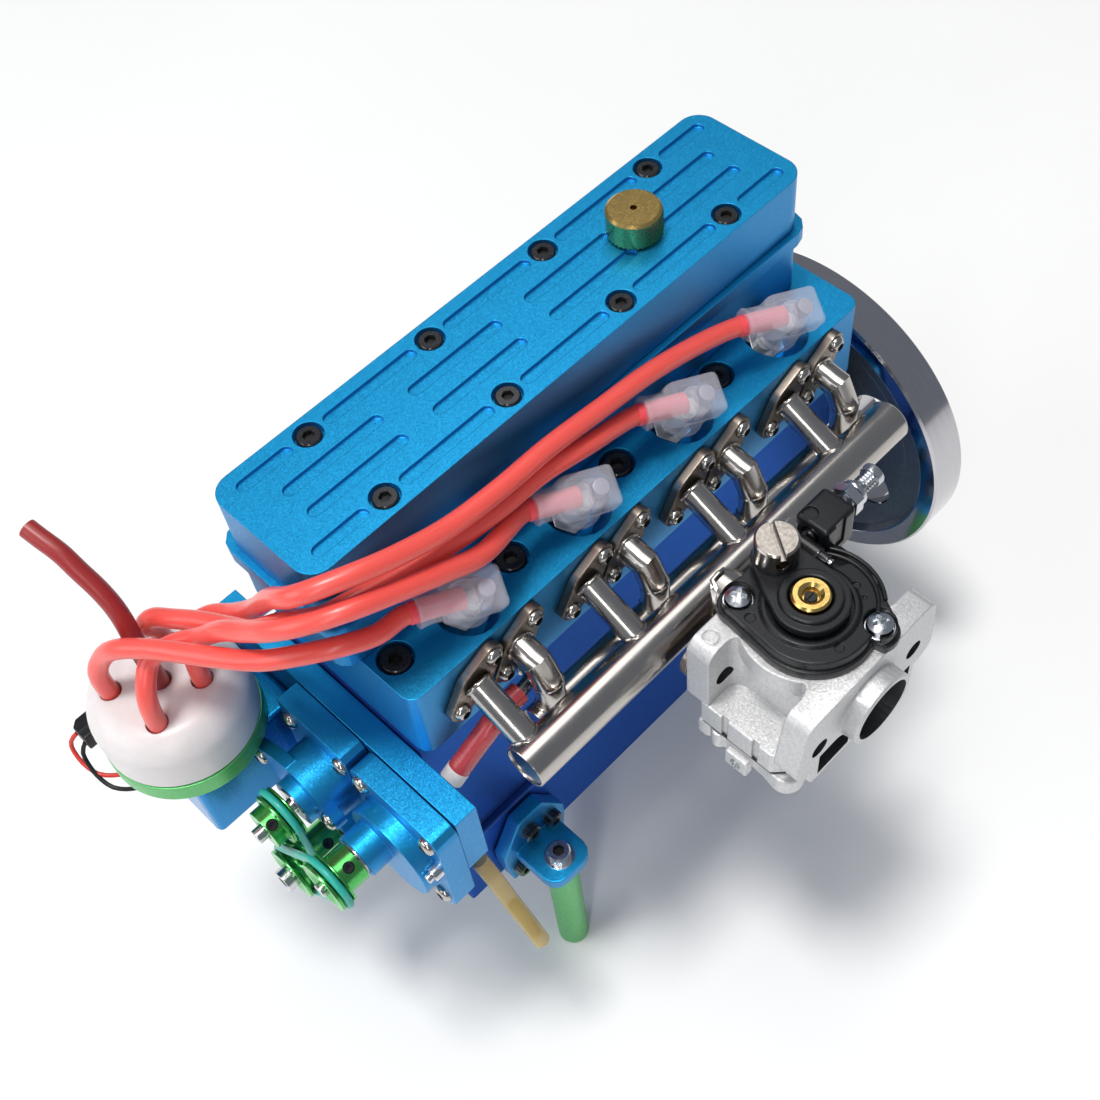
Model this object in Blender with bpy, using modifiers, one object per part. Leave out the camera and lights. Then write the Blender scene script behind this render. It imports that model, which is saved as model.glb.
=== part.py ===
"""Inline four-cylinder model engine on four standoff posts.

The engine frame used below is in millimetres: x runs along the crankshaft from the axis of cylinder 1
towards the flywheel, y is measured from the middle of the rocker cover, with the carburettor at -Y and the
distributor at +Y, and z is the height above the feet. at() turns it into the part's own frame, in metres.
"""

import math

import bmesh
import bpy
from mathutils import Matrix, Vector

MM = 0.001
GAP = 0.3  # clearance between neighbouring pieces

# Driving dimensions
PITCH = 33.0
CYLINDERS = 4
BORE = 24.0
STROKE = 18.0
CYLINDER_Y = -8.0
CRANK_Z = 76.0
STATIONS = [PITCH * i for i in range(CYLINDERS)]
FIRST, LAST = STATIONS[0], STATIONS[-1]

# Heights of the castings, from the feet upwards
POST_TOP = 47.7
FOOT_TOP = 52.0
PAN_BOTTOM = 37.0
BLOCK_BOTTOM = 66.0
HEAD_BOTTOM = 121.0
LEDGE = 144.0
BOX_TOP = 163.0
COVER_TOP = 178.0

# Outlines of the castings
BLOCK_X = (FIRST - 18.5, LAST + 25.5)
BLOCK_Y = (-28.0, 22.0)
PAN_Y = (-30.0, 22.0)
HEAD_Y = (-31.2, 20.0)
COVER_X = (FIRST - 22.6, LAST + 21.4)
COVER_Y = (-16.0, 16.0)
BOX_FLANGE = 1.5

# Front of the engine
PLATE_X = (BLOCK_X[0] - 6.3, BLOCK_X[0] - GAP)
FRONT_X = (PLATE_X[0] - 6.2, PLATE_X[0] - GAP)
TIMING_TOP = 118.0
CAM_Y, CAM_Z = 13.0, 95.0
CRANK_GEAR_R, CAM_GEAR_R = 9.3, 18.7
IDLER_Y, IDLER_Z = -8.0, 102.0
PUMP_Y, PUMP_Z = -28.0, 102.0
PUMP_MID_Y, PUMP_MID_Z = -31.8, 100.5
BELT_INNER_X = -45.8
BELT_OUTER_X = -48.8
PULLEY_R = 6.7
CRANK_PULLEY_R = 7.2
BELT_R = 0.9

# Distributor
DIST_X, DIST_Y = -47.0, 23.0
DIST_BASE = 106.0
CAP_TOP = DIST_BASE + 22.0
DIST_R = 18.3

# Breathing side
PORT_Z = 136.0
INTAKE_DX, EXHAUST_DX = -3.7, 8.7
FLANGE_Y = (HEAD_Y[0] - 2.3, HEAD_Y[0] - GAP)
INTAKE_LOG_Y, INTAKE_LOG_Z, INTAKE_LOG_R = -50.5, 127.0, 5.2
EXHAUST_LOG_Y, EXHAUST_LOG_Z, EXHAUST_LOG_R = -41.3, 118.0, 4.3
RUNNER_R = 3.2
CARB_X, CARB_Z = 51.0, INTAKE_LOG_Z
CARB_FLANGE_Y = -60.5
THROTTLE_Y = -75.5
CARB_BOLT = 15.5

# Ignition
PLUG_DX, PLUG_Y = 5.2, -22.2
PLUG_LEAN = math.radians(28.0)
PLUG_WELL_R = 7.1
BOOT_TURN = math.radians(-24.0)
BOOT_LEVEL = 12.0
BOOT_REACH = 13.6
LEAD_D = 4.4

# Flywheel
FLYWHEEL_X = (134.0, 145.5)
FLYWHEEL_R = 47.5

# Mounts
MOUNT_X = (1.5, 114.0)
MOUNT_Y = (-43.0, 35.0)

# The part's origin is under the middle of its bounding box
EXTENT_X = (-65.6, FLYWHEEL_X[1])
EXTENT_Y = (-96.0, DIST_Y + 22.4)
CENTRE_X = sum(EXTENT_X) / 2
CENTRE_Y = sum(EXTENT_Y) / 2

PALETTE = {
    "anodised_blue": ((0.01, 0.35, 0.72), 0.9, 0.35),
    "royal_blue": ((0.02, 0.09, 0.36), 0.85, 0.35),
    "anodised_green": ((0.10, 0.42, 0.14), 0.9, 0.3),
    "steel": ((0.62, 0.62, 0.63), 1.0, 0.25),
    "stainless": ((0.55, 0.52, 0.48), 1.0, 0.3),
    "cast_aluminium": ((0.70, 0.70, 0.69), 0.8, 0.5),
    "brass": ((0.78, 0.57, 0.22), 1.0, 0.3),
    "zinc": ((0.70, 0.71, 0.72), 1.0, 0.3),
    "black_plastic": ((0.02, 0.02, 0.022), 0.0, 0.35),
    "cap_plastic": ((0.80, 0.77, 0.76), 0.0, 0.35),
    "boot_plastic": ((0.78, 0.76, 0.82), 0.0, 0.3),
    "red_silicone": ((0.72, 0.07, 0.05), 0.0, 0.4),
    "hose_red": ((0.62, 0.10, 0.10), 0.0, 0.3),
    "tube_amber": ((0.60, 0.45, 0.12), 0.0, 0.3),
    "belt_teal": ((0.02, 0.42, 0.36), 0.0, 0.5),
    "ceramic": ((0.85, 0.85, 0.83), 0.0, 0.3),
}


def at(x, y, z):
    """A point of the engine frame, in metres in the part's frame."""
    return Vector((x - CENTRE_X, y - CENTRE_Y, z)) * MM


def clear_scene():
    for thing in list(bpy.data.objects):
        bpy.data.objects.remove(thing)


def collection(name):
    made = bpy.data.collections.new(name)
    bpy.context.scene.collection.children.link(made)
    return made


def material(name):
    made = bpy.data.materials.get(name)
    if made is None:
        colour, metallic, roughness = PALETTE[name]
        made = bpy.data.materials.new(name)
        made.use_nodes = True
        shader = made.node_tree.nodes["Principled BSDF"]
        shader.inputs["Base Color"].default_value = (*colour, 1.0)
        shader.inputs["Metallic"].default_value = metallic
        shader.inputs["Roughness"].default_value = roughness
    return made


def add(name, mesh, place=None):
    """An object with the mesh, in the parts collection until part() or a Boolean takes it."""
    thing = bpy.data.objects.new(name, mesh)
    PARTS.objects.link(thing)
    if place is not None:
        thing.matrix_world = place
    return thing


def part(thing, name, finish):
    """Name a finished piece and give it its material."""
    thing.name = name
    thing.data.name = name
    thing.data.materials.clear()
    thing.data.materials.append(material(finish))
    if thing.type == "MESH":
        thing.data.shade_smooth()
        thing.data.set_sharp_from_angle(angle=math.radians(35))
    return thing


def as_tool(thing):
    PARTS.objects.unlink(thing)
    TOOLS.objects.link(thing)
    thing.hide_render = True
    thing.display_type = "WIRE"


def boolean(target, tool, operation):
    as_tool(tool)
    step = target.modifiers.new(tool.name, "BOOLEAN")
    step.operation = operation
    step.object = tool
    step.solver = "EXACT"


def unite(target, *tools):
    for tool in tools:
        boolean(target, tool, "UNION")
    return target


def cut(target, *tools):
    for tool in tools:
        boolean(target, tool, "DIFFERENCE")
    return target


AXES = {
    "X": Matrix(((0, 0, 1), (1, 0, 0), (0, 1, 0))).to_4x4(),
    "Y": Matrix(((1, 0, 0), (0, 0, -1), (0, 1, 0))).to_4x4(),
    "Z": Matrix.Identity(4),
}


def box(name, x, y, z, edge=0.0):
    """A block between two limits on each axis, with optional rounded edges."""
    size = Vector((x[1] - x[0], y[1] - y[0], z[1] - z[0])) * MM
    mesh = bpy.data.meshes.new(name)
    shape = bmesh.new()
    bmesh.ops.create_cube(shape, size=1.0)
    bmesh.ops.scale(shape, vec=size, verts=shape.verts)
    shape.to_mesh(mesh)
    shape.free()
    thing = add(name, mesh, Matrix.Translation(at(sum(x) / 2, sum(y) / 2, sum(z) / 2)))
    if edge:
        rounding = thing.modifiers.new("edges", "BEVEL")
        rounding.width = edge * MM
        rounding.segments = 2
        rounding.limit_method = "ANGLE"
    return thing


def rod(name, axis, centre, span, radius, sides=20, top_radius=None):
    """A cylinder or cone along an axis: centre holds the two other coordinates, in X, Y, Z order."""
    low, high = span
    mesh = bpy.data.meshes.new(name)
    shape = bmesh.new()
    bmesh.ops.create_cone(
        shape,
        cap_ends=True,
        segments=sides,
        radius1=radius * MM,
        radius2=(radius if top_radius is None else top_radius) * MM,
        depth=(high - low) * MM,
    )
    shape.to_mesh(mesh)
    shape.free()
    middle = (low + high) / 2
    first, second = centre
    points = {"X": (middle, first, second), "Y": (first, middle, second), "Z": (first, second, middle)}
    turn = Matrix.Rotation(math.pi, 4, "X") if axis == "Y" else Matrix.Identity(4)
    return add(name, mesh, Matrix.Translation(at(*points[axis])) @ turn @ AXES[axis])


def turned(name, axis, centre, profile, sides=24):
    """A turned solid: profile holds (radius, position along the axis) from its high end to its low end."""
    mesh = bpy.data.meshes.new(name)
    points = [(radius * MM, 0.0, along * MM) for radius, along in profile]
    mesh.from_pydata(points, [(i, i + 1) for i in range(len(points) - 1)], [])
    first, second = centre
    points = {"X": (0, first, second), "Y": (first, 0, second), "Z": (first, second, 0)}
    base = at(*points[axis])
    base["XYZ".index(axis)] = at(0, 0, 0)["XYZ".index(axis)]
    thing = add(name, mesh, Matrix.Translation(base) @ AXES[axis])
    lathe = thing.modifiers.new("lathe", "SCREW")
    lathe.axis = "Z"
    lathe.steps = sides
    lathe.render_steps = sides
    lathe.use_merge_vertices = True
    lathe.merge_threshold = 1e-5
    return thing


def plate(name, axis, span, outline):
    """A flat plate: outline holds its corners' other two coordinates, counterclockwise about the axis."""
    low, high = span
    mesh = bpy.data.meshes.new(name)
    shape = bmesh.new()
    corners = {
        "X": lambda a, b: at(low, a, b),
        "Y": lambda a, b: at(a, low, b),
        "Z": lambda a, b: at(a, b, low),
    }[axis]
    face = shape.faces.new([shape.verts.new(corners(a, b)) for a, b in outline])
    grown = bmesh.ops.extrude_face_region(shape, geom=[face])
    step = Vector([(high - low) * MM if letter == axis else 0.0 for letter in "XYZ"])
    moved = [item for item in grown["geom"] if isinstance(item, bmesh.types.BMVert)]
    bmesh.ops.translate(shape, vec=step, verts=moved)
    bmesh.ops.recalc_face_normals(shape, faces=shape.faces)
    shape.to_mesh(mesh)
    shape.free()
    return add(name, mesh)


def arc(centre, radius, start, end, steps):
    """Points on an arc, with angles in degrees."""
    turn = [math.radians(start + (end - start) * i / steps) for i in range(steps + 1)]
    return [(centre[0] + radius * math.cos(a), centre[1] + radius * math.sin(a)) for a in turn]


def rounded(a, b, radius, steps=4):
    """The outline of a rectangle with round corners, counterclockwise."""
    corners = (
        (a[1] - radius, b[1] - radius, 0),
        (a[0] + radius, b[1] - radius, 90),
        (a[0] + radius, b[0] + radius, 180),
        (a[1] - radius, b[0] + radius, 270),
    )
    return [p for x, y, start in corners for p in arc((x, y), radius, start, start + 90, steps)]


def ears(middle, spacing, angle, boss, ear, steps=4):
    """The outline of a two-bolt flange: a round middle and two ears, spacing apart and tilted."""
    points = []
    half = spacing / 2
    for side in (0, 180):
        tilt = angle + side
        centre = (
            middle[0] + half * math.cos(math.radians(tilt)),
            middle[1] + half * math.sin(math.radians(tilt)),
        )
        lean = math.degrees(math.asin((boss - ear) / half))
        points += arc(centre, ear, tilt - 90 + lean, tilt + 90 - lean, steps)
        points += arc(middle, boss, tilt + 90 - lean, tilt + 90 + lean, 2)
    return points


def smooth_route(points, spacing):
    """Evenly spaced points on one smooth curve through the given points."""
    ends = [points[0] * 2 - points[1], *points, points[-1] * 2 - points[-2]]
    dense = [points[0]]
    for before, here, there, after in zip(ends, ends[1:], ends[2:], ends[3:]):
        for i in range(1, 25):
            t = i / 24
            dense.append(
                0.5
                * (
                    2 * here
                    + (there - before) * t
                    + (2 * before - 5 * here + 4 * there - after) * t**2
                    + (3 * here - before - 3 * there + after) * t**3
                )
            )
    length = sum((b - a).length for a, b in zip(dense, dense[1:]))
    count = max(2, round(length / spacing))
    marks = [length * i / count for i in range(1, count)]
    route = [dense[0]]
    travelled = 0.0
    for a, b in zip(dense, dense[1:]):
        reach = (b - a).length
        while marks and travelled + reach >= marks[0]:
            route.append(a.lerp(b, (marks.pop(0) - travelled) / reach))
        travelled += reach
    return [*route, dense[-1]]


def tube(name, points, diameter, spacing, resolution=2):
    """A round tube along one smooth curve through points of the engine frame."""
    route = smooth_route([at(*p) for p in points], spacing * MM)
    curve = bpy.data.curves.new(name, "CURVE")
    curve.dimensions = "3D"
    curve.bevel_depth = diameter / 2 * MM
    curve.bevel_resolution = resolution
    curve.use_fill_caps = True
    line = curve.splines.new("POLY")
    line.points.add(len(route) - 1)
    for point, place in zip(line.points, route):
        point.co = (*place, 1.0)
    thing = bpy.data.objects.new(name, curve)
    PARTS.objects.link(thing)
    return thing


def meshed(curve_object):
    """A curve's tube as a closed mesh, ready for a Boolean."""
    name = curve_object.name
    bpy.context.view_layer.update()
    evaluated = curve_object.evaluated_get(bpy.context.evaluated_depsgraph_get())
    mesh = bpy.data.meshes.new_from_object(evaluated)
    shape = bmesh.new()
    shape.from_mesh(mesh)
    bmesh.ops.remove_doubles(shape, verts=shape.verts, dist=1e-6)
    bmesh.ops.recalc_face_normals(shape, faces=shape.faces)
    shape.to_mesh(mesh)
    shape.free()
    place = curve_object.matrix_world.copy()
    bpy.data.objects.remove(curve_object)
    return add(name, mesh, place)


# --- castings ---------------------------------------------------------------------------------------------


def cylinder_block():
    block = box("block", BLOCK_X, BLOCK_Y, (BLOCK_BOTTOM, HEAD_BOTTOM))
    for i, x in enumerate(STATIONS):
        bay = (x - 14.0, x + 14.0) if i else (x - 13.5, x + 14.0)
        room = (CYLINDER_Y - 15.5, CYLINDER_Y + 15.5)
        cut(
            block,
            box(f"crankcase_{i}", bay, room, (BLOCK_BOTTOM - 1, CRANK_Z + 16)),
            rod(f"bore_{i}", "Z", (x, CYLINDER_Y), (CRANK_Z + 10, HEAD_BOTTOM + 1), BORE / 2 + 0.2),
        )
    ends = (BLOCK_X[0] - 1, BLOCK_X[1] + 1)
    cut(
        block,
        rod("main_bearings", "X", (CYLINDER_Y, CRANK_Z), ends, 6.2, 16),
        rod("cam_tunnel", "X", (CAM_Y, CAM_Z), (BLOCK_X[0] - 1, BLOCK_X[1] - 5), 5.6, 16),
    )
    part(block, "cylinder_block", "royal_blue")


def oil_pan():
    pan = box("pan", BLOCK_X, PAN_Y, (PAN_BOTTOM, BLOCK_BOTTOM - GAP))
    sump = (BLOCK_X[0] + 4, BLOCK_X[1] - 4)
    inside = (CYLINDER_Y - 15.5, CYLINDER_Y + 22)
    cut(pan, box("sump", sump, inside, (PAN_BOTTOM + 4, BLOCK_BOTTOM + 1)))
    part(pan, "oil_pan", "royal_blue")


def cylinder_head():
    outline = rounded(BLOCK_X, HEAD_Y, 3.0, 3)
    head = plate("head", "Z", (HEAD_BOTTOM + GAP, LEDGE), outline)
    for i, x in enumerate(STATIONS):
        cut(
            head,
            lean(i, rod(f"plug_well_{i}", "Z", (0, 0), (-11, 8), PLUG_WELL_R)),
            lean(i, rod(f"plug_hole_{i}", "Z", (0, 0), (-19, -10), 3.4, 12)),
            rod(f"chamber_{i}", "Z", (x, CYLINDER_Y), (HEAD_BOTTOM - 1, HEAD_BOTTOM + 2.5), 10.0),
            rod(f"intake_port_{i}", "Y", (x + INTAKE_DX, PORT_Z), (HEAD_Y[0] - 1, CYLINDER_Y), 2.6, 12),
            rod(f"head_bolt_{i}", "Z", (x - 13.2, -20.5), (LEDGE - 3.5, LEDGE + 1), 4.1, 16),
        )
    part(head, "cylinder_head", "anodised_blue")


def rocker_box():
    flange_x = (COVER_X[0] - BOX_FLANGE, COVER_X[1] + BOX_FLANGE)
    flange_y = (COVER_Y[0] - BOX_FLANGE, COVER_Y[1] + BOX_FLANGE)
    walls = plate("walls", "Z", (LEDGE + GAP, BOX_TOP - GAP), rounded(COVER_X, COVER_Y, 4.0, 3))
    lip = plate("lip", "Z", (BOX_TOP - 4.3, BOX_TOP - GAP), rounded(flange_x, flange_y, 5.0, 3))
    room_x = (COVER_X[0] + 3.5, COVER_X[1] - 3.5)
    room_y = (COVER_Y[0] + 3.5, COVER_Y[1] - 3.5)
    unite(walls, lip)
    cut(walls, box("room", room_x, room_y, (LEDGE - 1, BOX_TOP + 1)))
    part(walls, "rocker_box", "anodised_blue")


def rocker_cover():
    cover = plate("cover", "Z", (BOX_TOP, COVER_TOP), rounded(COVER_X, COVER_Y, 5.0, 4))
    room_x = (COVER_X[0] + 3.5, COVER_X[1] - 3.5)
    room_y = (COVER_Y[0] + 3.5, COVER_Y[1] - 3.5)
    cut(
        cover,
        box("cover_room", room_x, room_y, (BOX_TOP - 1, COVER_TOP - 4)),
        rod("filler_hole", "Z", (FIRST + 2.5 * PITCH, 0), (BOX_TOP + 5, COVER_TOP + 1), 4.3, 16),
    )
    part(cover, "rocker_cover", "anodised_blue")


def rocker_shaft():
    """The rocker shaft with its eight rockers, on a pedestal between each pair."""
    height = LEDGE + 12
    shaft = rod("rockers", "X", (-2, height), (FIRST - 16, LAST + 16), 2.0, 12)
    for i, x in enumerate(STATIONS):
        foot = (LEDGE + GAP, height)
        unite(shaft, box(f"pedestal_{i}", (x - 3, x + 3), (-5, 1), foot))
        for side in (-1, 1):
            arm = (x + side * 8 - 2, x + side * 8 + 2)
            unite(shaft, box(f"rocker_{i}_{side}", arm, (-10, 9), (height - 2.5, height + 2.5)))
    part(shaft, "rocker_shaft", "steel")


def rear_bearing_plate():
    span = (BLOCK_X[1] + GAP, BLOCK_X[1] + 4.6)
    cover = plate("rear", "X", span, rounded((BLOCK_Y[0] + 1, BLOCK_Y[1] - 1), (52, 104), 6.0))
    cut(cover, rod("rear_seal", "X", (CYLINDER_Y, CRANK_Z), (span[0] - 1, span[1] + 1), 6.4, 16))
    part(cover, "rear_bearing_plate", "anodised_blue")


# --- front of the engine ----------------------------------------------------------------------------------


def timing_back_plate():
    edge = [(-45.5, TIMING_TOP), (-45.5, 95), (-31, 86), (-31, 54), (14, 54), (36, 76), (36, TIMING_TOP)]
    back = plate("back", "X", PLATE_X, edge[::-1])
    pocket = (PLATE_X[0] + 1.5, PLATE_X[1] + 1)
    through = (PLATE_X[0] - 1, PLATE_X[1] + 1)
    cut(
        back,
        rod("crank_gear_room", "X", (CYLINDER_Y, CRANK_Z), pocket, CRANK_GEAR_R + 0.8, 24),
        rod("cam_gear_room", "X", (CAM_Y, CAM_Z), pocket, CAM_GEAR_R + 0.8, 32),
        rod("nose_hole", "X", (CYLINDER_Y, CRANK_Z), through, 5.0, 16),
    )
    part(back, "timing_back_plate", "anodised_blue")


def timing_cover():
    """The front cover of the idler and the crankshaft, with its two bosses."""
    corner = arc((-13.7, TIMING_TOP - 3.5), 3.5, 180, 90, 3)
    edge = [(6, TIMING_TOP), (6, 62), (-17.2, 62), *corner]
    cover = plate("front", "X", FRONT_X, edge[::-1])
    start = FRONT_X[0]
    lug = plate("lug", "X", (start - 8.5, start - 5.5), ears((IDLER_Y + 3, IDLER_Z), 24, 0, 9.5, 2.8))
    unite(
        cover,
        rod("idler_base", "X", (IDLER_Y, IDLER_Z), (start - 8.5, start + 2), 9.8),
        lug,
        rod("idler_snout", "X", (IDLER_Y, IDLER_Z), (start - 11.3, start - 7), 6.0),
        rod("crank_boss", "X", (CYLINDER_Y, CRANK_Z), (start - 5, start + 2), 8.0),
    )
    cut(
        cover,
        rod("idler_bore", "X", (IDLER_Y, IDLER_Z), (start - 13, start + 3), 2.2, 12),
        rod("crank_bore", "X", (CYLINDER_Y, CRANK_Z), (start - 6, FRONT_X[1] + 1), 5.0, 16),
    )
    part(cover, "timing_cover", "anodised_blue")


def pump_cover():
    """The coolant pump's housing: a square flange, a round volute and a bearing snout."""
    start = FRONT_X[0]
    flange = plate("pump", "X", FRONT_X, rounded((-46.3, -17.9), (84, TIMING_TOP), 3.5, 3))
    middle = (PUMP_MID_Y, PUMP_MID_Z)
    unite(
        flange,
        rod("volute", "X", middle, (start - 4.3, start + 2), 12.2, 28),
        rod("pump_snout", "X", (PUMP_Y, PUMP_Z), (start - 10.1, start - 3), 5.6),
    )
    cut(
        flange,
        rod("impeller_room", "X", (PUMP_Y, PUMP_Z), (start - 2, FRONT_X[1] + 1), 8.2),
        rod("pump_bore", "X", (PUMP_Y, PUMP_Z), (start - 13, start), 2.2, 12),
    )
    part(flange, "pump_housing", "anodised_blue")


def pulley(name, centre, disc, hub, shaft, radius, hub_radius, grooves):
    """A grooved pulley with its hub and steel shaft, turned in one piece along X."""
    turn = [(0.0, disc[1]), (radius, disc[1])]
    for groove in sorted(grooves, reverse=True):
        turn += [(radius, groove + 1.3), (radius - 1.5, groove + 0.6), (radius - 1.5, groove - 0.6)]
        turn += [(radius, groove - 1.3)]
    turn += [(radius, disc[0]), (0.0, disc[0])]
    wheel = turned(name, "X", centre, turn, 24)
    unite(wheel, rod(f"{name}_hub", "X", centre, hub, hub_radius, 16))
    if shaft is not None:
        unite(wheel, rod(f"{name}_shaft", "X", centre, shaft, 1.8, 12))
    return wheel


def pulleys():
    idler = pulley(
        "idler",
        (IDLER_Y, IDLER_Z),
        (BELT_INNER_X - 2.0, BELT_INNER_X + 1.8),
        (BELT_INNER_X - 5.2, BELT_INNER_X - 1.5),
        (BELT_INNER_X - 7.5, FRONT_X[0] - 0.5),
        PULLEY_R,
        5.0,
        [BELT_INNER_X],
    )
    part(idler, "idler_pulley", "anodised_green")
    pump = pulley(
        "pump_wheel",
        (PUMP_Y, PUMP_Z),
        (BELT_OUTER_X - 2.0, BELT_OUTER_X + 1.8),
        (BELT_OUTER_X + 1.5, FRONT_X[0] - 10.8),
        (BELT_OUTER_X - 3.0, FRONT_X[1] - 1.5),
        PULLEY_R,
        5.0,
        [BELT_OUTER_X],
    )
    unite(pump, rod("impeller", "X", (PUMP_Y, PUMP_Z), (FRONT_X[0] - 1, FRONT_X[1] - 1.5), 7.6, 16))
    part(pump, "pump_pulley", "anodised_green")
    crank = pulley(
        "crank_wheel",
        (CYLINDER_Y, CRANK_Z),
        (BELT_OUTER_X - 2.0, BELT_INNER_X + 1.8),
        (BELT_INNER_X + 1.5, FRONT_X[0] - 5.5),
        None,
        CRANK_PULLEY_R,
        5.6,
        [BELT_INNER_X, BELT_OUTER_X],
    )
    nose = (BELT_OUTER_X - 3.0, FRONT_X[0])
    cut(crank, rod("nose_bore", "X", (CYLINDER_Y, CRANK_Z), nose, 3.0 + GAP, 12))
    part(crank, "crank_pulley", "anodised_green")


def belt(name, x, first, first_r, second, second_r):
    """A round belt round two pulleys in the plane at x."""
    start, end = Vector(first), Vector(second)
    along = (end - start).normalized()
    lean = math.degrees(math.asin((first_r - second_r) / (end - start).length))
    heading = math.degrees(math.atan2(along.y, along.x))
    loop = arc(first, first_r, heading + 90 - lean, heading + 270 + lean, 10)
    loop += arc(second, second_r, heading - 90 + lean, heading + 90 - lean, 10)
    curve = bpy.data.curves.new(name, "CURVE")
    curve.dimensions = "3D"
    curve.bevel_depth = BELT_R * MM
    curve.bevel_resolution = 1
    line = curve.splines.new("POLY")
    line.use_cyclic_u = True
    line.points.add(len(loop) - 1)
    for point, (y, z) in zip(line.points, loop):
        point.co = (*at(x, y, z), 1.0)
    thing = bpy.data.objects.new(name, curve)
    PARTS.objects.link(thing)
    return thing


def belts():
    rise = BELT_R - 1.5 + GAP + 0.1
    small, large = PULLEY_R + rise, CRANK_PULLEY_R + rise
    crank = (CYLINDER_Y, CRANK_Z)
    inner = belt("inner", BELT_INNER_X, (IDLER_Y, IDLER_Z), small, crank, large)
    outer = belt("outer", BELT_OUTER_X, (PUMP_Y, PUMP_Z), small, crank, large)
    part(inner, "idler_belt", "belt_teal")
    part(outer, "pump_belt", "belt_teal")


# --- distributor ------------------------------------------------------------------------------------------


def distributor():
    axis = (DIST_X, DIST_Y)
    housing = box("housing", (DIST_X - 9, PLATE_X[0] - GAP), (DIST_Y - 13, DIST_Y + 13), (80, DIST_BASE), 1.5)
    cut(housing, rod("drive_bore", "Z", axis, (84, DIST_BASE + 1), 3.3, 12))
    part(housing, "distributor_housing", "anodised_blue")

    low, high = DIST_BASE + GAP, DIST_BASE + 6
    ring = rod("ring", "Z", axis, (low, high), DIST_R + 0.2, 32)
    cut(ring, rod("ring_bore", "Z", axis, (low - 1, high + 1), 5.0, 16))
    part(ring, "distributor_ring", "anodised_green")

    base, top = high + GAP, CAP_TOP
    shoulder = [(DIST_R - 6 + 6 * math.cos(a), top - 6 + 6 * math.sin(a)) for a in
                (math.radians(90 - 22.5 * i) for i in range(5))]
    cap = turned("cap", "Z", axis, [(0.0, top), *shoulder, (DIST_R, base), (0.0, base)], 32)
    cut(cap, rod("cap_room", "Z", axis, (base - 1, top - 7), 14.5, 24))
    for i, (x, y) in enumerate(TOWERS):
        cut(cap, rod(f"tower_{i}", "Z", (x, y), (top - 5.4, top + 1), LEAD_D / 2 + 0.4, 12))
    part(cap, "distributor_cap", "cap_plastic")

    rotor = rod("spindle", "Z", axis, (86, top - 9.5), 2.6, 12)
    unite(rotor, box("arm", (DIST_X - 3, DIST_X + 11.5), (DIST_Y - 3, DIST_Y + 3), (top - 13, top - 9)))
    part(rotor, "distributor_rotor", "black_plastic")

    plug = box("sensor", (DIST_X - 18.6, DIST_X - 12), (DIST_Y + 16, DIST_Y + 22.4), (98, 105), 0.8)
    arm = box("sensor_arm", (DIST_X - 15, DIST_X - 7), (DIST_Y + 13.3, DIST_Y + 18), (99, 104))
    unite(plug, arm)
    part(plug, "sensor_plug", "black_plastic")


# --- breathing --------------------------------------------------------------------------------------------


def port_flange(name, x, angle):
    return plate(name, "Y", FLANGE_Y, ears((x, PORT_Z), 14.0, angle, 4.9, 2.9)[::-1])


def intake_manifold():
    ends = (FIRST - 8.2, LAST + 14)
    log = rod("log", "X", (INTAKE_LOG_Y, INTAKE_LOG_Z), ends, INTAKE_LOG_R, 24)
    for i, x in enumerate(STATIONS):
        port = x + INTAKE_DX
        route = [(port, FLANGE_Y[0] + 1, PORT_Z), (port, INTAKE_LOG_Y, INTAKE_LOG_Z + 0.5)]
        runner = meshed(tube(f"runner_{i}", route, 2 * RUNNER_R, 40))
        unite(log, port_flange(f"intake_flange_{i}", port, 41), runner)
    stub = (CARB_FLANGE_Y + GAP, INTAKE_LOG_Y)
    seat = (CARB_FLANGE_Y + GAP, CARB_FLANGE_Y + 2.3)
    middle = (CARB_X, CARB_Z)
    unite(
        log,
        rod("stub", "Y", middle, stub, 6.2, 20),
        plate("carb_seat", "Y", seat, ears(middle, 2 * CARB_BOLT, 0, 8.5, 5.0)[::-1]),
    )
    cut(log, rod("inlet", "Y", middle, (CARB_FLANGE_Y - 1, INTAKE_LOG_Y), 4.5, 16))
    part(log, "intake_manifold", "stainless")


def exhaust_manifold():
    ends = (FIRST + 3.5, LAST + 15)
    log = rod("exhaust_log", "X", (EXHAUST_LOG_Y, EXHAUST_LOG_Z), ends, EXHAUST_LOG_R, 20)
    for i, x in enumerate(STATIONS):
        port = x + EXHAUST_DX
        top = PORT_Z
        y = EXHAUST_LOG_Y
        bend = [(y + 9.0, top), (y + 5.0, top), (y + 2.2, top - 1.0), (y + 0.6, top - 3.4)]
        bend += [(y, top - 7.0), (y, EXHAUST_LOG_Z)]
        route = [(port, b, c) for b, c in bend]
        elbow = meshed(tube(f"elbow_{i}", route, 2 * RUNNER_R + 0.3, 3.4))
        unite(log, port_flange(f"exhaust_flange_{i}", port, 46), elbow)
    outlet = (ends[1] - 8, ends[1] + 1)
    cut(log, rod("outlet", "X", (EXHAUST_LOG_Y, EXHAUST_LOG_Z), outlet, EXHAUST_LOG_R - 1, 16))
    part(log, "exhaust_manifold", "stainless")


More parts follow.
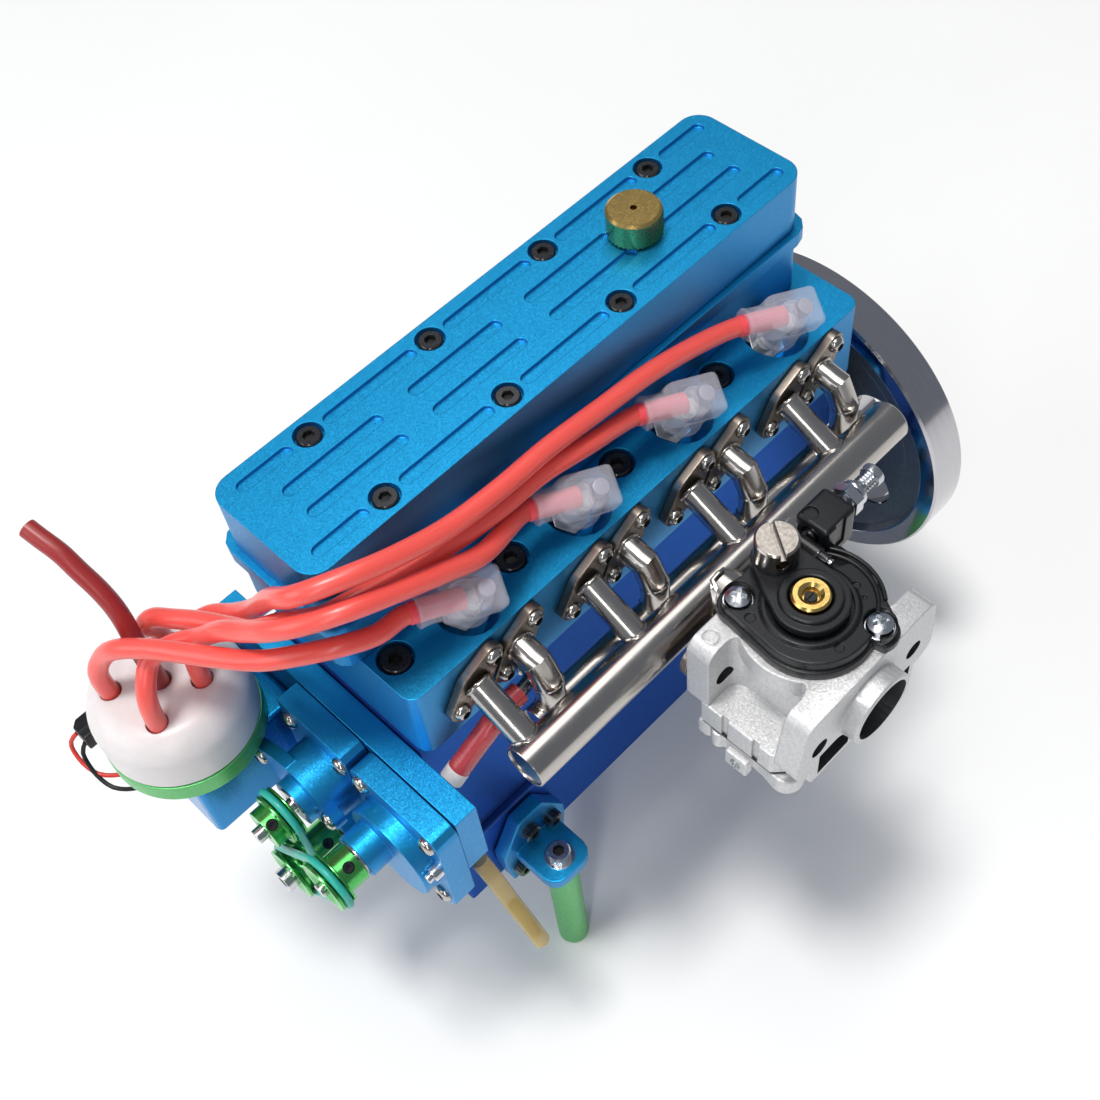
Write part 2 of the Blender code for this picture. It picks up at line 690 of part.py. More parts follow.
def carburettor():
    middle = (CARB_X, CARB_Z)
    inner = (CARB_FLANGE_Y - 6.0, CARB_FLANGE_Y)
    outer = (CARB_FLANGE_Y - 31.5, CARB_FLANGE_Y - 25.5)
    deck = CARB_Z + 13.0
    body = box("carb", (CARB_X - 11, CARB_X + 11), (outer[0] + 2, inner[1] - 2), (CARB_Z - 10, deck))
    front = (outer[0] + 0.2, outer[1] + 1)
    unite(
        body,
        box("base", (CARB_X - 21, CARB_X + 20), (outer[1] - 1, inner[0] + 1), (CARB_Z - 15, CARB_Z - 7)),
        box("front_plate", (CARB_X - 17.5, CARB_X + 17.5), front, (CARB_Z - 14.5, CARB_Z + 1)),
        plate("inner_lugs", "Y", inner, ears(middle, 2 * CARB_BOLT, 0, 8.5, 5.4)[::-1]),
        plate("outer_lugs", "Y", outer, ears(middle, 2 * CARB_BOLT, 0, 9.5, 5.4)[::-1]),
        rod("venturi", "Y", middle, (EXTENT_Y[0], CARB_FLANGE_Y - 1), 9.0),
        rod("deck", "Z", (CARB_X, THROTTLE_Y), (deck - 5, deck), 15.0),
    )
    cut(
        body,
        rod("throat", "Y", middle, (EXTENT_Y[0] - 1, CARB_FLANGE_Y + 1), 6.4),
        rod("barrel_bore", "Z", (CARB_X, THROTTLE_Y), (CARB_Z - 9, deck + 1), 7.9),
        *(
            rod(f"lug_hole_{side}", "Y", (CARB_X + side * CARB_BOLT, CARB_Z),
                (CARB_FLANGE_Y - 33, CARB_FLANGE_Y + 1), 2.6, 12)
            for side in (-1, 1)
        ),
    )
    part(body, "carburettor_body", "cast_aluminium")

    bowl_y = (CARB_FLANGE_Y - 29.5, CARB_FLANGE_Y - 3)
    bowl = box("bowl", (CARB_X - 21, CARB_X + 19.5), bowl_y, (CARB_Z - 24, CARB_Z - 15 - GAP), 1.5)
    part(bowl, "diaphragm_cover", "cast_aluminium")

    low = deck + GAP
    cover = rod("lid", "Z", (CARB_X, THROTTLE_Y), (low, low + 6), 15.5, 28)
    ledge = [(CARB_X - 20, THROTTLE_Y + 6), (CARB_X - 14, THROTTLE_Y - 6), (CARB_X + 12, THROTTLE_Y - 13)]
    ledge += [(CARB_X + 21, THROTTLE_Y - 8), (CARB_X + 16, THROTTLE_Y + 10), (CARB_X + 16, THROTTLE_Y + 17)]
    ledge += [(CARB_X + 4, THROTTLE_Y + 17), (CARB_X - 14, THROTTLE_Y + 13)]
    beside = (THROTTLE_Y + 6, THROTTLE_Y + 14)
    holder = box("cable_holder", (CARB_X + 12.5, CARB_X + 22), beside, (low, low + 11))
    unite(cover, plate("lid_flange", "Z", (low, low + 3), ledge), holder)
    cut(
        cover,
        rod("stem_hole", "Z", (CARB_X, THROTTLE_Y), (low - 1, low + 7), 4.6, 20),
        rod("adjuster_hole", "X", (THROTTLE_Y + 10, low + 7.5), (CARB_X + 11, CARB_X + 23), 2.3, 12),
    )
    part(cover, "carburettor_cover", "black_plastic")

    barrel = rod("barrel", "Z", (CARB_X, THROTTLE_Y), (CARB_Z - 8.5, deck - 0.5), 7.5, 24)
    unite(barrel, rod("stem", "Z", (CARB_X, THROTTLE_Y), (deck - 1, low + 10.6), 4.2, 20))
    cut(barrel, rod("needle_hole", "Z", (CARB_X, THROTTLE_Y), (low + 5, low + 12), 2.0, 12))
    cut(barrel, rod("barrel_port", "X", (THROTTLE_Y, CARB_Z), (CARB_X - 9, CARB_X + 9), 5.6, 16))
    part(barrel, "throttle_barrel", "brass")

    lever = rod("hub", "Z", (CARB_X, THROTTLE_Y), (low + 6 + GAP, low + 8.6), 8.4, 24)
    thickness = (low + 6 + GAP, low + 8.6)
    arm = box("lever_arm", (CARB_X - 2, CARB_X + 6), (THROTTLE_Y + 4, THROTTLE_Y + 12), thickness)
    unite(lever, arm, rod("swivel", "Z", (CARB_X + 3, THROTTLE_Y + 11.5), (low + 6 + GAP, low + 15), 4.7, 20))
    cut(lever, rod("hub_bore", "Z", (CARB_X, THROTTLE_Y), (low + 5, low + 10), 4.2 + GAP, 20))
    part(lever, "throttle_lever", "zinc")

    screw = rod("thread", "X", (THROTTLE_Y + 10, low + 7.5), (CARB_X + 11, CARB_X + 34), 2.0, 12)
    unite(screw, rod("nut", "X", (THROTTLE_Y + 10, low + 7.5), (CARB_X + 23, CARB_X + 26), 4.0, 6))
    part(screw, "cable_adjuster", "zinc")


# --- ignition ---------------------------------------------------------------------------------------------


def lean(i, thing):
    """Carry a piece made round the origin to the mouth of a plug well, leaning outwards with its plug."""
    mouth = at(STATIONS[i] + PLUG_DX, PLUG_Y, LEDGE)
    turn = Matrix.Translation(mouth) @ Matrix.Rotation(PLUG_LEAN, 4, "X") @ Matrix.Translation(-at(0, 0, 0))
    thing.matrix_world = turn @ thing.matrix_world
    return thing


def spark_plugs():
    for i in range(CYLINDERS):
        seat = -11 + GAP
        profile = [(0, BOOT_LEVEL - 4), (2.2, BOOT_LEVEL - 4), (2.6, seat + 6), (4.4, seat + 6), (4.4, seat)]
        profile += [(3.0, seat), (3.0, -17), (0, -17)]
        plug = lean(i, turned(f"plug_{i}", "Z", (0, 0), profile, 12))
        part(plug, f"spark_plug_{i + 1}", "ceramic")


def plug_boots():
    home = Matrix.Translation(at(0, 0, 0))
    about = home @ Matrix.Rotation(BOOT_TURN, 4, "Z") @ home.inverted()
    for i in range(CYLINDERS):
        boot = box(f"boot_{i}", (-11.5, 5.0), (-4.6, 4.6), (BOOT_LEVEL - 3.2, BOOT_LEVEL + 3.5), 1.2)
        nozzle = rod(f"nozzle_{i}", "X", (0, BOOT_LEVEL), (-BOOT_REACH, -9), 3.3, 16)
        skirt = rod(f"skirt_{i}", "Z", (0, 0), (0.5, BOOT_LEVEL), 5.2, 16)
        wire = rod(f"wire_hole_{i}", "X", (0, BOOT_LEVEL), (-BOOT_REACH - 1, -6), LEAD_D / 2 + 0.3, 12)
        socket = rod(f"socket_{i}", "Z", (0, 0), (-1, BOOT_LEVEL - 3.5), 3.4, 12)
        for piece in (boot, nozzle, wire):
            piece.matrix_world = about @ piece.matrix_world
        for piece in (boot, nozzle, skirt, wire, socket):
            lean(i, piece)
        unite(boot, nozzle, skirt)
        cut(boot, wire, socket)
        part(boot, f"plug_boot_{i + 1}", "boot_plastic")


# The cap's five towers: one for each plug lead, and the coil's in the middle
TOWERS = [
    (DIST_X - 9.1, DIST_Y + 6.1),
    (DIST_X - 6.9, DIST_Y - 8.0),
    (DIST_X + 7.0, DIST_Y + 7.0),
    (DIST_X + 6.4, DIST_Y - 6.7),
    (DIST_X, DIST_Y),
]
TOWER_FLOOR = CAP_TOP - 5.0


def boot_end(i, reach):
    """The point on a boot's wire axis at a distance behind its plug."""
    spot = Vector((-reach * math.cos(BOOT_TURN), -reach * math.sin(BOOT_TURN), BOOT_LEVEL))
    spot = Matrix.Rotation(PLUG_LEAN, 3, "X") @ spot
    return (STATIONS[i] + PLUG_DX + spot.x, PLUG_Y + spot.y, LEDGE + spot.z)


def lead_routes():
    """The route of each lead, by hand: out of its tower, over the head and into its boot."""
    a, b, c, d, coil = [(*tower, TOWER_FLOOR) for tower in TOWERS]
    return {
        "plug_lead_1": [
            a, (a[0] - 0.2, a[1], 135), (-53.8, 27, 142), (-51.5, 22.3, 147.5), (-48, 16, 150.5),
            (-45, 10, 152.5), (-40, 0.5, 154.5), (-35, -7.5, 156), (-29.5, -14, 158.5), (-23, -19.5, 160), (-16, -22, 158.5),
            boot_end(0, 15.5), boot_end(0, 6.5),
        ],
        "plug_lead_2": [
            b, (b[0] + 0.3, b[1] - 0.3, 134), (-51.5, 16, 140), (-47.5, 17.5, 144), (-43, 14.5, 147.5),
            (-38.5, 9, 151), (-36.2, 2, 158.3), (-34, -5, 163), (-31.7, -12.2, 168.5), (-27.5, -18, 172),
            (-20, -23, 173.5), (-10, -25, 170.5), (0, -26, 166.5), (10, -26, 162), boot_end(1, 15.5),
            boot_end(1, 6.5),
        ],
        "plug_lead_3": [
            c, (c[0] - 0.5, c[1], 134), (-43, 28.5, 139), (-41, 26.5, 142.5), (-38.5, 21.5, 144.5),
            (-35.5, 15, 147), (-32.6, 7, 150), (-31.3, -0.8, 155.6), (-28.8, -7, 161.5),
            (-26.8, -12.5, 166.5), (-23, -17.3, 168.6), (-17.5, -19, 169), (-6.5, -20.5, 167),
            (5.5, -21.2, 165), (18, -21.7, 164), (30.5, -22, 164), (43, -22.5, 161.5),
            boot_end(2, 15.5), boot_end(2, 6.5),
        ],
        "plug_lead_4": [
            d, (d[0] + 0.2, d[1], 131.5), (-39, 18, 136), (-36, 20.5, 139), (-32, 18.5, 141.5),
            (-29, 12, 145.5), (-26.9, 5, 152.5), (-27.2, -6, 168), (-26.2, -15, 177), (-17.5, -20.5, 179), (-7, -22.5, 176.5),
            (5.5, -23, 173), (19, -22.5, 170.8), (33.5, -21.3, 168.8), (49, -20.8, 166.3), (64.5, -20.6, 164),
            (79, -21, 160.5), boot_end(3, 15.5), boot_end(3, 6.5),
        ],
        "coil_lead": [
            coil, (coil[0] - 0.5, coil[1] - 0.5, 133), (-47.2, 24, 141), (-46.2, 27.8, 149),
            (-46.3, 31.5, 154), (-47, 36, 158), (-47.5, 40, 161), (-48.5, 45, 163), (-49, 48, 164),
        ],
    }


def leads():
    for name, route in lead_routes().items():
        part(tube(name, route, LEAD_D, 10.0), name, "red_silicone")


def hoses():
    hose = [(-16.5, -34.3, 112), (-12, -35, 116), (-6, -36, 121.5), (-1, -36, 124), (4.5, -36, 124.5)]
    part(tube("hose", hose, 5.4, 6.0, 3), "coolant_hose", "hose_red")
    drain = [(-20.8, -43.5, 89.5), (-20.3, -46.5, 84), (-19.6, -50, 75), (-18.8, -53.5, 66), (-18, -56.5, 57)]
    part(tube("drain", drain, 4.2, 6.0), "breather_tube", "tube_amber")


# --- turning and sliding parts ----------------------------------------------------------------------------


def crankshaft():
    axis = (CYLINDER_Y, CRANK_Z)
    shaft = rod("tail", "X", axis, (LAST + 6, FLYWHEEL_X[0] - GAP), 5.8, 16)
    unite(shaft, rod("tail_flange", "X", axis, (FLYWHEEL_X[0] - 3.6, FLYWHEEL_X[0] - GAP), 12, 20))
    journals = [(FIRST - 20, FIRST - 6)]
    journals += [(STATIONS[i] + 6, STATIONS[i + 1] - 6) for i in range(CYLINDERS - 1)]
    for i, span in enumerate(journals):
        unite(shaft, rod(f"journal_{i}", "X", axis, span, 5.8, 16))
    for i, x in enumerate(STATIONS):
        throw = STROKE / 2 if i in (0, 3) else -STROKE / 2
        for side in (-1, 1):
            web = (x + side * 7 - 2.5, x + side * 7 + 2.5)
            unite(shaft, rod(f"web_{i}_{side}", "X", axis, web, 13.2, 20))
        unite(shaft, rod(f"pin_{i}", "X", (CYLINDER_Y, CRANK_Z + throw), (x - 6, x + 6), 4.0, 12))
    gear = (BLOCK_X[0] - 4.2, BLOCK_X[0] - 0.8)
    unite(
        shaft,
        rod("crank_gear", "X", axis, gear, CRANK_GEAR_R, 24),
        rod("nose", "X", axis, (FRONT_X[0] - 4.5, FIRST - 18), 4.5, 16),
        rod("pulley_seat", "X", axis, (BELT_OUTER_X - 4.5, FRONT_X[0]), 3.0, 12),
    )
    part(shaft, "crankshaft", "steel")


def camshaft():
    axis = (CAM_Y, CAM_Z)
    shaft = rod("cam", "X", axis, (BLOCK_X[0] - 4.2, BLOCK_X[1] - 6), 3.4, 12)
    unite(shaft, rod("cam_gear", "X", axis, (BLOCK_X[0] - 4.2, BLOCK_X[0] - 0.8), CAM_GEAR_R, 32))
    for i, x in enumerate(STATIONS):
        for side in (-1, 1):
            lobe = (x + side * 8 - 2, x + side * 8 + 2)
            turn = math.radians(90 * i + 55 * side)
            centre = (CAM_Y + 1.2 * math.cos(turn), CAM_Z + 1.2 * math.sin(turn))
            unite(shaft, rod(f"lobe_{i}_{side}", "X", centre, lobe, 4.0, 12))
    part(shaft, "camshaft", "steel")


def flywheel():
    front, rear = FLYWHEEL_X
    axis = (CYLINDER_Y, CRANK_Z)
    rim = FLYWHEEL_R
    profile = [(0, rear), (rim - 1, rear), (rim, rear - 1), (rim, front + 1), (rim - 1, front)]
    profile += [(rim - 5, front), (rim - 6, front + 3), (17, front + 3), (16, front), (0, front)]
    wheel = turned("wheel", "X", axis, profile, 48)
    for i in range(6):
        turn = math.radians(60 * i + 30)
        hole = (CYLINDER_Y + 28 * math.cos(turn), CRANK_Z + 28 * math.sin(turn))
        cut(wheel, rod(f"lightening_{i}", "X", hole, (front - 1, rear + 1), 7.5, 16))
    part(wheel, "flywheel", "steel")


def pistons():
    """Pistons 1 and 4 rest at the top of their stroke, 2 and 3 at the bottom."""
    for i, x in enumerate(STATIONS):
        top = HEAD_BOTTOM - 0.6 if i in (0, 3) else HEAD_BOTTOM - 0.6 - STROKE
        low = top - 12
        piston = rod(f"crown_{i}", "Z", (x, CYLINDER_Y), (low, top), BORE / 2 - 0.2, 20)
        part(piston, f"piston_{i + 1}", "cast_aluminium")


def filler_cap():
    axis = (FIRST + 2.5 * PITCH, 0)
    knob = rod("knob", "Z", axis, (COVER_TOP + GAP, COVER_TOP + 7), 6.3, 28)
    unite(knob, rod("cap_thread", "Z", axis, (COVER_TOP - 7, COVER_TOP + 1), 3.9, 16))
    cut(knob, rod("cap_vent", "Z", axis, (COVER_TOP + 3, COVER_TOP + 8), 1.0, 8))
    part(knob, "filler_cap", "brass")


# --- mounts -----------------------------------------------------------------------------------------------


def mounts():
    sides = (("right", MOUNT_Y[0], PAN_Y[0], -1), ("left", MOUNT_Y[1], PAN_Y[1], 1))
    for end, x in zip(("front", "rear"), MOUNT_X):
        for side, y, wall, way in sides:
            near, far = wall + way * GAP, wall + way * 4.3
            edge = [(x - 9, PAN_BOTTOM + 1), (x + 9, PAN_BOTTOM + 1), (x + 10.5, 48), (x + 10.5, 53)]
            edge += [(x + 4, 64), (x - 4, 64), (x - 10.5, 53), (x - 10.5, 48)]
            bracket = plate("upright", "Y", (min(near, far), max(near, far)), edge)
            tongue = sorted((near + way, y + way * 5.5))
            foot = (POST_TOP + GAP, FOOT_TOP)
            unite(bracket, plate("tongue", "Z", foot, rounded((x - 7, x + 7), tongue, 4.0, 3)))
            part(bracket, f"bracket_{end}_{side}", "anodised_blue")
            post = rod("post", "Z", (x, y), (0, POST_TOP), 4.2, 20)
            part(post, f"post_{end}_{side}", "anodised_green")


clear_scene()
PARTS = collection("inline_four_model_engine")
TOOLS = collection("cutters")

cylinder_block()
oil_pan()
cylinder_head()
rocker_box()
rocker_cover()
rocker_shaft()
rear_bearing_plate()
timing_back_plate()
timing_cover()
pump_cover()
pulleys()
belts()
distributor()
intake_manifold()
exhaust_manifold()
carburettor()
spark_plugs()
plug_boots()
leads()
hoses()
crankshaft()
camshaft()
flywheel()
pistons()
filler_cap()
mounts()
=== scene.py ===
"""The looks of a four-cylinder inline model engine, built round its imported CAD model.

Shapes are drawn in the engine frame, in millimetres: x runs along the crankshaft from the axis of cylinder 1
towards the flywheel, y is measured from the middle of the rocker cover and is negative on the carburettor's
side, and z is the height above the feet. shown() turns a shape into a piece in the row frame, in metres.
"""

import math
import random

import bmesh
import bpy
from mathutils import Matrix, Vector


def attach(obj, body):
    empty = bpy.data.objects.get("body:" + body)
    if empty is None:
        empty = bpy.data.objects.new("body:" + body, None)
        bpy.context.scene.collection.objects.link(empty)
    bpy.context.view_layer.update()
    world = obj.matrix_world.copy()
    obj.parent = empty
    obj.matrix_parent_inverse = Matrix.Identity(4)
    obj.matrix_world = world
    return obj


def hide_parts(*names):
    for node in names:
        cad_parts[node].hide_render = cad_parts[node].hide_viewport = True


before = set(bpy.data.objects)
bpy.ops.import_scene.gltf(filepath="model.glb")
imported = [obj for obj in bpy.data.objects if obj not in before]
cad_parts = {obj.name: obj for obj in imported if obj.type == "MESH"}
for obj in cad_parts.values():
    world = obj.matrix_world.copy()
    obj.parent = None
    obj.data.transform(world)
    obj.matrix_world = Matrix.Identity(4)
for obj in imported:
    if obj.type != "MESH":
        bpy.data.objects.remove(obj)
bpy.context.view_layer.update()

MM = 0.001
ORIGIN = Vector((39.95, -25.3, 0.0))  # the engine frame's point over the row frame's origin
PITCH = 33.0
STATIONS = [PITCH * i for i in range(4)]


def at(x, y, z):
    """A point of the engine frame in the row frame, in metres."""
    return (Vector((x, y, z)) - ORIGIN) * MM


# --- camera, floor and light ------------------------------------------------------------------------------

CAMERA_PLACE = Vector((-0.12505, -0.1405, 0.4047))
CAMERA_FORWARD = Vector((0.353, 0.443, -0.824)).normalized()
CAMERA_UP = Vector((0.622, 0.547, 0.560))
LENS = 49.0
SENSOR = 36.0


def camera():
    data = bpy.data.cameras.new("camera")
    data.lens = LENS
    data.sensor_width = SENSOR
    data.clip_start = 0.01
    data.clip_end = 10.0
    made = bpy.data.objects.new("camera", data)
    bpy.context.scene.collection.objects.link(made)
    right = CAMERA_FORWARD.cross(CAMERA_UP).normalized()
    up = right.cross(CAMERA_FORWARD)
    turn = Matrix((right, up, -CAMERA_FORWARD)).transposed()
    made.matrix_world = Matrix.Translation(CAMERA_PLACE) @ turn.to_4x4()
    bpy.context.scene.camera = made


def node(tree, kind, inputs=None, **settings):
    """A shader node. An input is a value, or another node's output to link."""
    made = tree.nodes.new(kind)
    for key, value in settings.items():
        setattr(made, key, value)
    for key, value in (inputs or {}).items():
        if isinstance(value, bpy.types.NodeSocket):
            tree.links.new(value, made.inputs[key])
        else:
            made.inputs[key].default_value = value
    return made


def mix(tree, factor, a, b):
    """A colour output between two colours. Each is a colour or another node's output."""
    return node(tree, "ShaderNodeMix", {0: factor, 6: a, 7: b}, data_type="RGBA").outputs[2]


def ranged(tree, value, span, to=(0.0, 1.0)):
    """An output that runs over one span as the value runs over another."""
    ends = {"From Min": span[0], "From Max": span[1], "To Min": to[0], "To Max": to[1]}
    return node(tree, "ShaderNodeMapRange", {"Value": value, **ends}).outputs["Result"]


def floor():
    """A pale floor with a faint cloudy shade."""
    mesh = bpy.data.meshes.new("floor")
    half = 1.6
    corners = [(-half, -half, 0), (half, -half, 0), (half, half, 0), (-half, half, 0)]
    mesh.from_pydata(corners, [], [(0, 1, 2, 3)])
    made = bpy.data.objects.new("floor", mesh)
    bpy.context.scene.collection.objects.link(made)
    made.location.z = -0.0002
    finish = bpy.data.materials.new("floor")
    finish.use_nodes = True
    tree = finish.node_tree
    shader = tree.nodes["Principled BSDF"]
    place = node(tree, "ShaderNodeTexCoord")
    cloud = node(tree, "ShaderNodeTexNoise", {"Vector": place.outputs["Object"], "Scale": 6.0, "Detail": 3.0})
    shade = mix(tree, cloud.outputs["Fac"], (0.86, 0.855, 0.84, 1.0), (0.91, 0.905, 0.895, 1.0))
    tree.links.new(shade, shader.inputs["Base Color"])
    shader.inputs["Roughness"].default_value = 0.75
    mesh.materials.append(finish)


def light(name, kind, place, aim, power, size, colour):
    """A sun, whose size is an angle, or a rectangular lamp, whose size is in metres."""
    data = bpy.data.lights.new(name, kind)
    data.energy = power
    data.color = colour
    if kind == "SUN":
        data.angle = size
    else:
        data.shape = "RECTANGLE"
        data.size, data.size_y = size
    made = bpy.data.objects.new(name, data)
    bpy.context.scene.collection.objects.link(made)
    made.location = place
    made.rotation_euler = (Vector(aim) - Vector(place)).to_track_quat("-Z", "Y").to_euler()


def studio():
    """Soft daylight from above, with a window, a strip and a ceiling panel to reflect."""
    scene = bpy.context.scene
    scene.view_settings.view_transform = "Standard"
    world = bpy.data.worlds.new("studio")
    world.use_nodes = True
    tree = world.node_tree
    back = tree.nodes["Background"]
    back.inputs["Color"].default_value = (0.80, 0.87, 1.0, 1.0)
    back.inputs["Strength"].default_value = 0.25
    scene.world = world
    light("key", "SUN", (-0.16, 0.09, 1.0), (0, 0, 0), 1.9, math.radians(12), (1.0, 0.985, 0.96))
    light("window", "AREA", (-0.75, 0.35, 0.55), (0, 0, 0.1), 2.6, (0.7, 0.5), (0.93, 0.97, 1.0))
    light("strip", "AREA", (-0.42, -0.30, 0.50), (0, 0, 0.12), 0.8, (0.07, 0.5), (1.0, 1.0, 1.0))
    light("ceiling", "AREA", (0.1, 0.1, 0.95), (0, 0, 0.1), 2.2, (0.35, 0.9), (1.0, 0.99, 0.97))


# --- shapes -----------------------------------------------------------------------------------------------

TURN = {
    "X": Matrix(((0, 0, 1), (1, 0, 0), (0, 1, 0))).to_4x4(),
    "Y": Matrix(((0, 1, 0), (0, 0, 1), (1, 0, 0))).to_4x4(),
    "Z": Matrix.Identity(4),
}


def axis_place(axis, centre, along=0.0):
    """The matrix that carries +Z at the origin to an axis: centre holds the two other coordinates."""
    first, second = centre
    spot = {"X": (along, first, second), "Y": (first, along, second), "Z": (first, second, along)}[axis]
    return Matrix.Translation(spot) @ TURN[axis]


def moved(shape, matrix):
    bmesh.ops.transform(shape, matrix=matrix, verts=shape.verts)
    return shape


def whole_again(shape):
    """Join faces that lie in one plane."""
    bmesh.ops.dissolve_limit(shape, angle_limit=math.radians(0.5), verts=shape.verts, edges=shape.edges)


def soften(shape, edge, segments=2, least=30.0):
    """Round every edge that turns by more than least degrees."""
    if edge:
        whole_again(shape)
        sharp = [e for e in shape.edges if e.is_manifold and e.calc_face_angle() > math.radians(least)]
        bmesh.ops.bevel(
            shape, geom=sharp, offset=edge, segments=segments, profile=0.5, affect="EDGES", clamp_overlap=True
        )
    return shape


def prism(outline, span, axis="Z", edge=0.0, segments=2):
    """An outline carried along an axis. The outline holds the two other coordinates."""
    shape = bmesh.new()
    low, high = span
    pairs = [(b, a) for a, b in outline] if axis == "Y" else outline
    face = shape.faces.new([shape.verts.new((a, b, low)) for a, b in pairs])
    grown = bmesh.ops.extrude_face_region(shape, geom=[face])
    far = [v for v in grown["geom"] if isinstance(v, bmesh.types.BMVert)]
    bmesh.ops.translate(shape, vec=(0, 0, high - low), verts=far)
    bmesh.ops.recalc_face_normals(shape, faces=shape.faces)
    soften(shape, edge, segments)
    return moved(shape, TURN[axis])


def brick(x, y, z, edge=0.0, segments=2):
    corners = [(x[0], y[0]), (x[1], y[0]), (x[1], y[1]), (x[0], y[1])]
    return prism(corners, z, "Z", edge, segments)


def arc(centre, radius, start, end, steps):
    """Points on an arc, with angles in degrees."""
    turns = [math.radians(start + (end - start) * i / steps) for i in range(steps + 1)]
    return [(centre[0] + radius * math.cos(a), centre[1] + radius * math.sin(a)) for a in turns]


def rounded(a, b, radius, steps=6):
    """The outline of a rectangle with round corners."""
    corners = (
        (a[1] - radius, b[1] - radius, 0),
        (a[0] + radius, b[1] - radius, 90),
        (a[0] + radius, b[0] + radius, 180),
        (a[1] - radius, b[0] + radius, 270),
    )
    return [p for x, y, start in corners for p in arc((x, y), radius, start, start + 90, steps)]


def hull(discs, steps=8):
    """The outline drawn tight round discs, each (a, b, radius)."""
    points = [p for a, b, radius in discs for p in arc((a, b), radius, 0, 360, 6 * steps)]
    points = sorted(set((round(a, 5), round(b, 5)) for a, b in points))

    def half(run):
        chain = []
        for p in run:
            while len(chain) > 1:
                o, q = chain[-2], chain[-1]
                if (q[0] - o[0]) * (p[1] - o[1]) - (q[1] - o[1]) * (p[0] - o[0]) > 1e-9:
                    break
                chain.pop()
            chain.append(p)
        return chain[:-1]

    return half(points) + half(points[::-1])


def ears(middle, spacing, angle, boss, ear, steps=5):
    """The outline of a two-bolt flange: a round middle and two ears, spacing apart, tilted by an angle."""
    points = []
    half = spacing / 2
    lean = math.degrees(math.asin((boss - ear) / half))
    for side in (0, 180):
        tilt = angle + side
        turn = math.radians(tilt)
        centre = (middle[0] + half * math.cos(turn), middle[1] + half * math.sin(turn))
        points += arc(centre, ear, tilt - 90 + lean, tilt + 90 - lean, 2 * steps)
        points += arc(middle, boss, tilt + 90 - lean, tilt + 90 + lean, steps)
    return points


def eased(profile, radius, steps=2):
    """A profile with its corners rounded off, and its two ends kept."""
    points = [Vector(p) for p in profile]
    made = [points[0]]
    for before, here, there in zip(points, points[1:], points[2:]):
        reach = min(radius, (before - here).length * 0.45, (there - here).length * 0.45)
        start = here + (before - here).normalized() * reach
        end = here + (there - here).normalized() * reach
        for i in range(steps + 1):
            t = i / steps
            made.append(start * (1 - t) ** 2 + here * (2 * t * (1 - t)) + end * t**2)
    return [*made, points[-1]]


def lathe(profile, axis="Z", centre=(0, 0), sides=48, ease=0.0):
    """A turned solid. The profile holds (radius, place along the axis) and starts and ends on the axis."""
    if ease:
        profile = eased(profile, ease)
    shape = bmesh.new()
    rings = []
    for radius, along in profile:
        if radius < 1e-6:
            rings.append([shape.verts.new((0, 0, along))])
        else:
            turns = [2 * math.pi * i / sides for i in range(sides)]
            spots = [(radius * math.cos(a), radius * math.sin(a), along) for a in turns]
            rings.append([shape.verts.new(spot) for spot in spots])
    for ring, after in zip(rings, rings[1:]):
        for i in range(sides):
            j = (i + 1) % sides
            if len(ring) == 1:
                shape.faces.new((ring[0], after[i], after[j]))
            elif len(after) == 1:
                shape.faces.new((ring[j], ring[i], after[0]))
            else:
                shape.faces.new((ring[j], ring[i], after[i], after[j]))
    bmesh.ops.recalc_face_normals(shape, faces=shape.faces)
    return moved(shape, axis_place(axis, centre))


def hoop(profile, axis, centre, sides):
    """A turned ring. The profile stands off the axis and is closed here."""
    ring = lathe([*profile, profile[0]], axis, centre, sides)
    bmesh.ops.remove_doubles(ring, verts=ring.verts, dist=1e-4)
    return ring


def rod(axis, centre, span, radius, sides=40, ease=0.3):
    low, high = span
    return lathe([(0, high), (radius, high), (radius, low), (0, low)], axis, centre, sides, ease)


def smooth_route(points, spacing):
    """Evenly spaced points on one smooth curve through the given points."""
    ends = [points[0] * 2 - points[1], *points, points[-1] * 2 - points[-2]]
    dense = [points[0]]
    for before, here, there, after in zip(ends, ends[1:], ends[2:], ends[3:]):
        for i in range(1, 25):
            t = i / 24
            turn = 2 * here + (there - before) * t
            turn += (2 * before - 5 * here + 4 * there - after) * t**2
            dense.append(0.5 * (turn + (here * 3 - before - 3 * there + after) * t**3))
    length = sum((b - a).length for a, b in zip(dense, dense[1:]))
    count = max(2, round(length / spacing))
    marks = [length * i / count for i in range(1, count)]
    route = [dense[0]]
    travelled = 0.0
    for a, b in zip(dense, dense[1:]):
        reach = (b - a).length
        while marks and travelled + reach >= marks[0]:
            route.append(a.lerp(b, (marks.pop(0) - travelled) / reach))
        travelled += reach
    return [*route, dense[-1]]


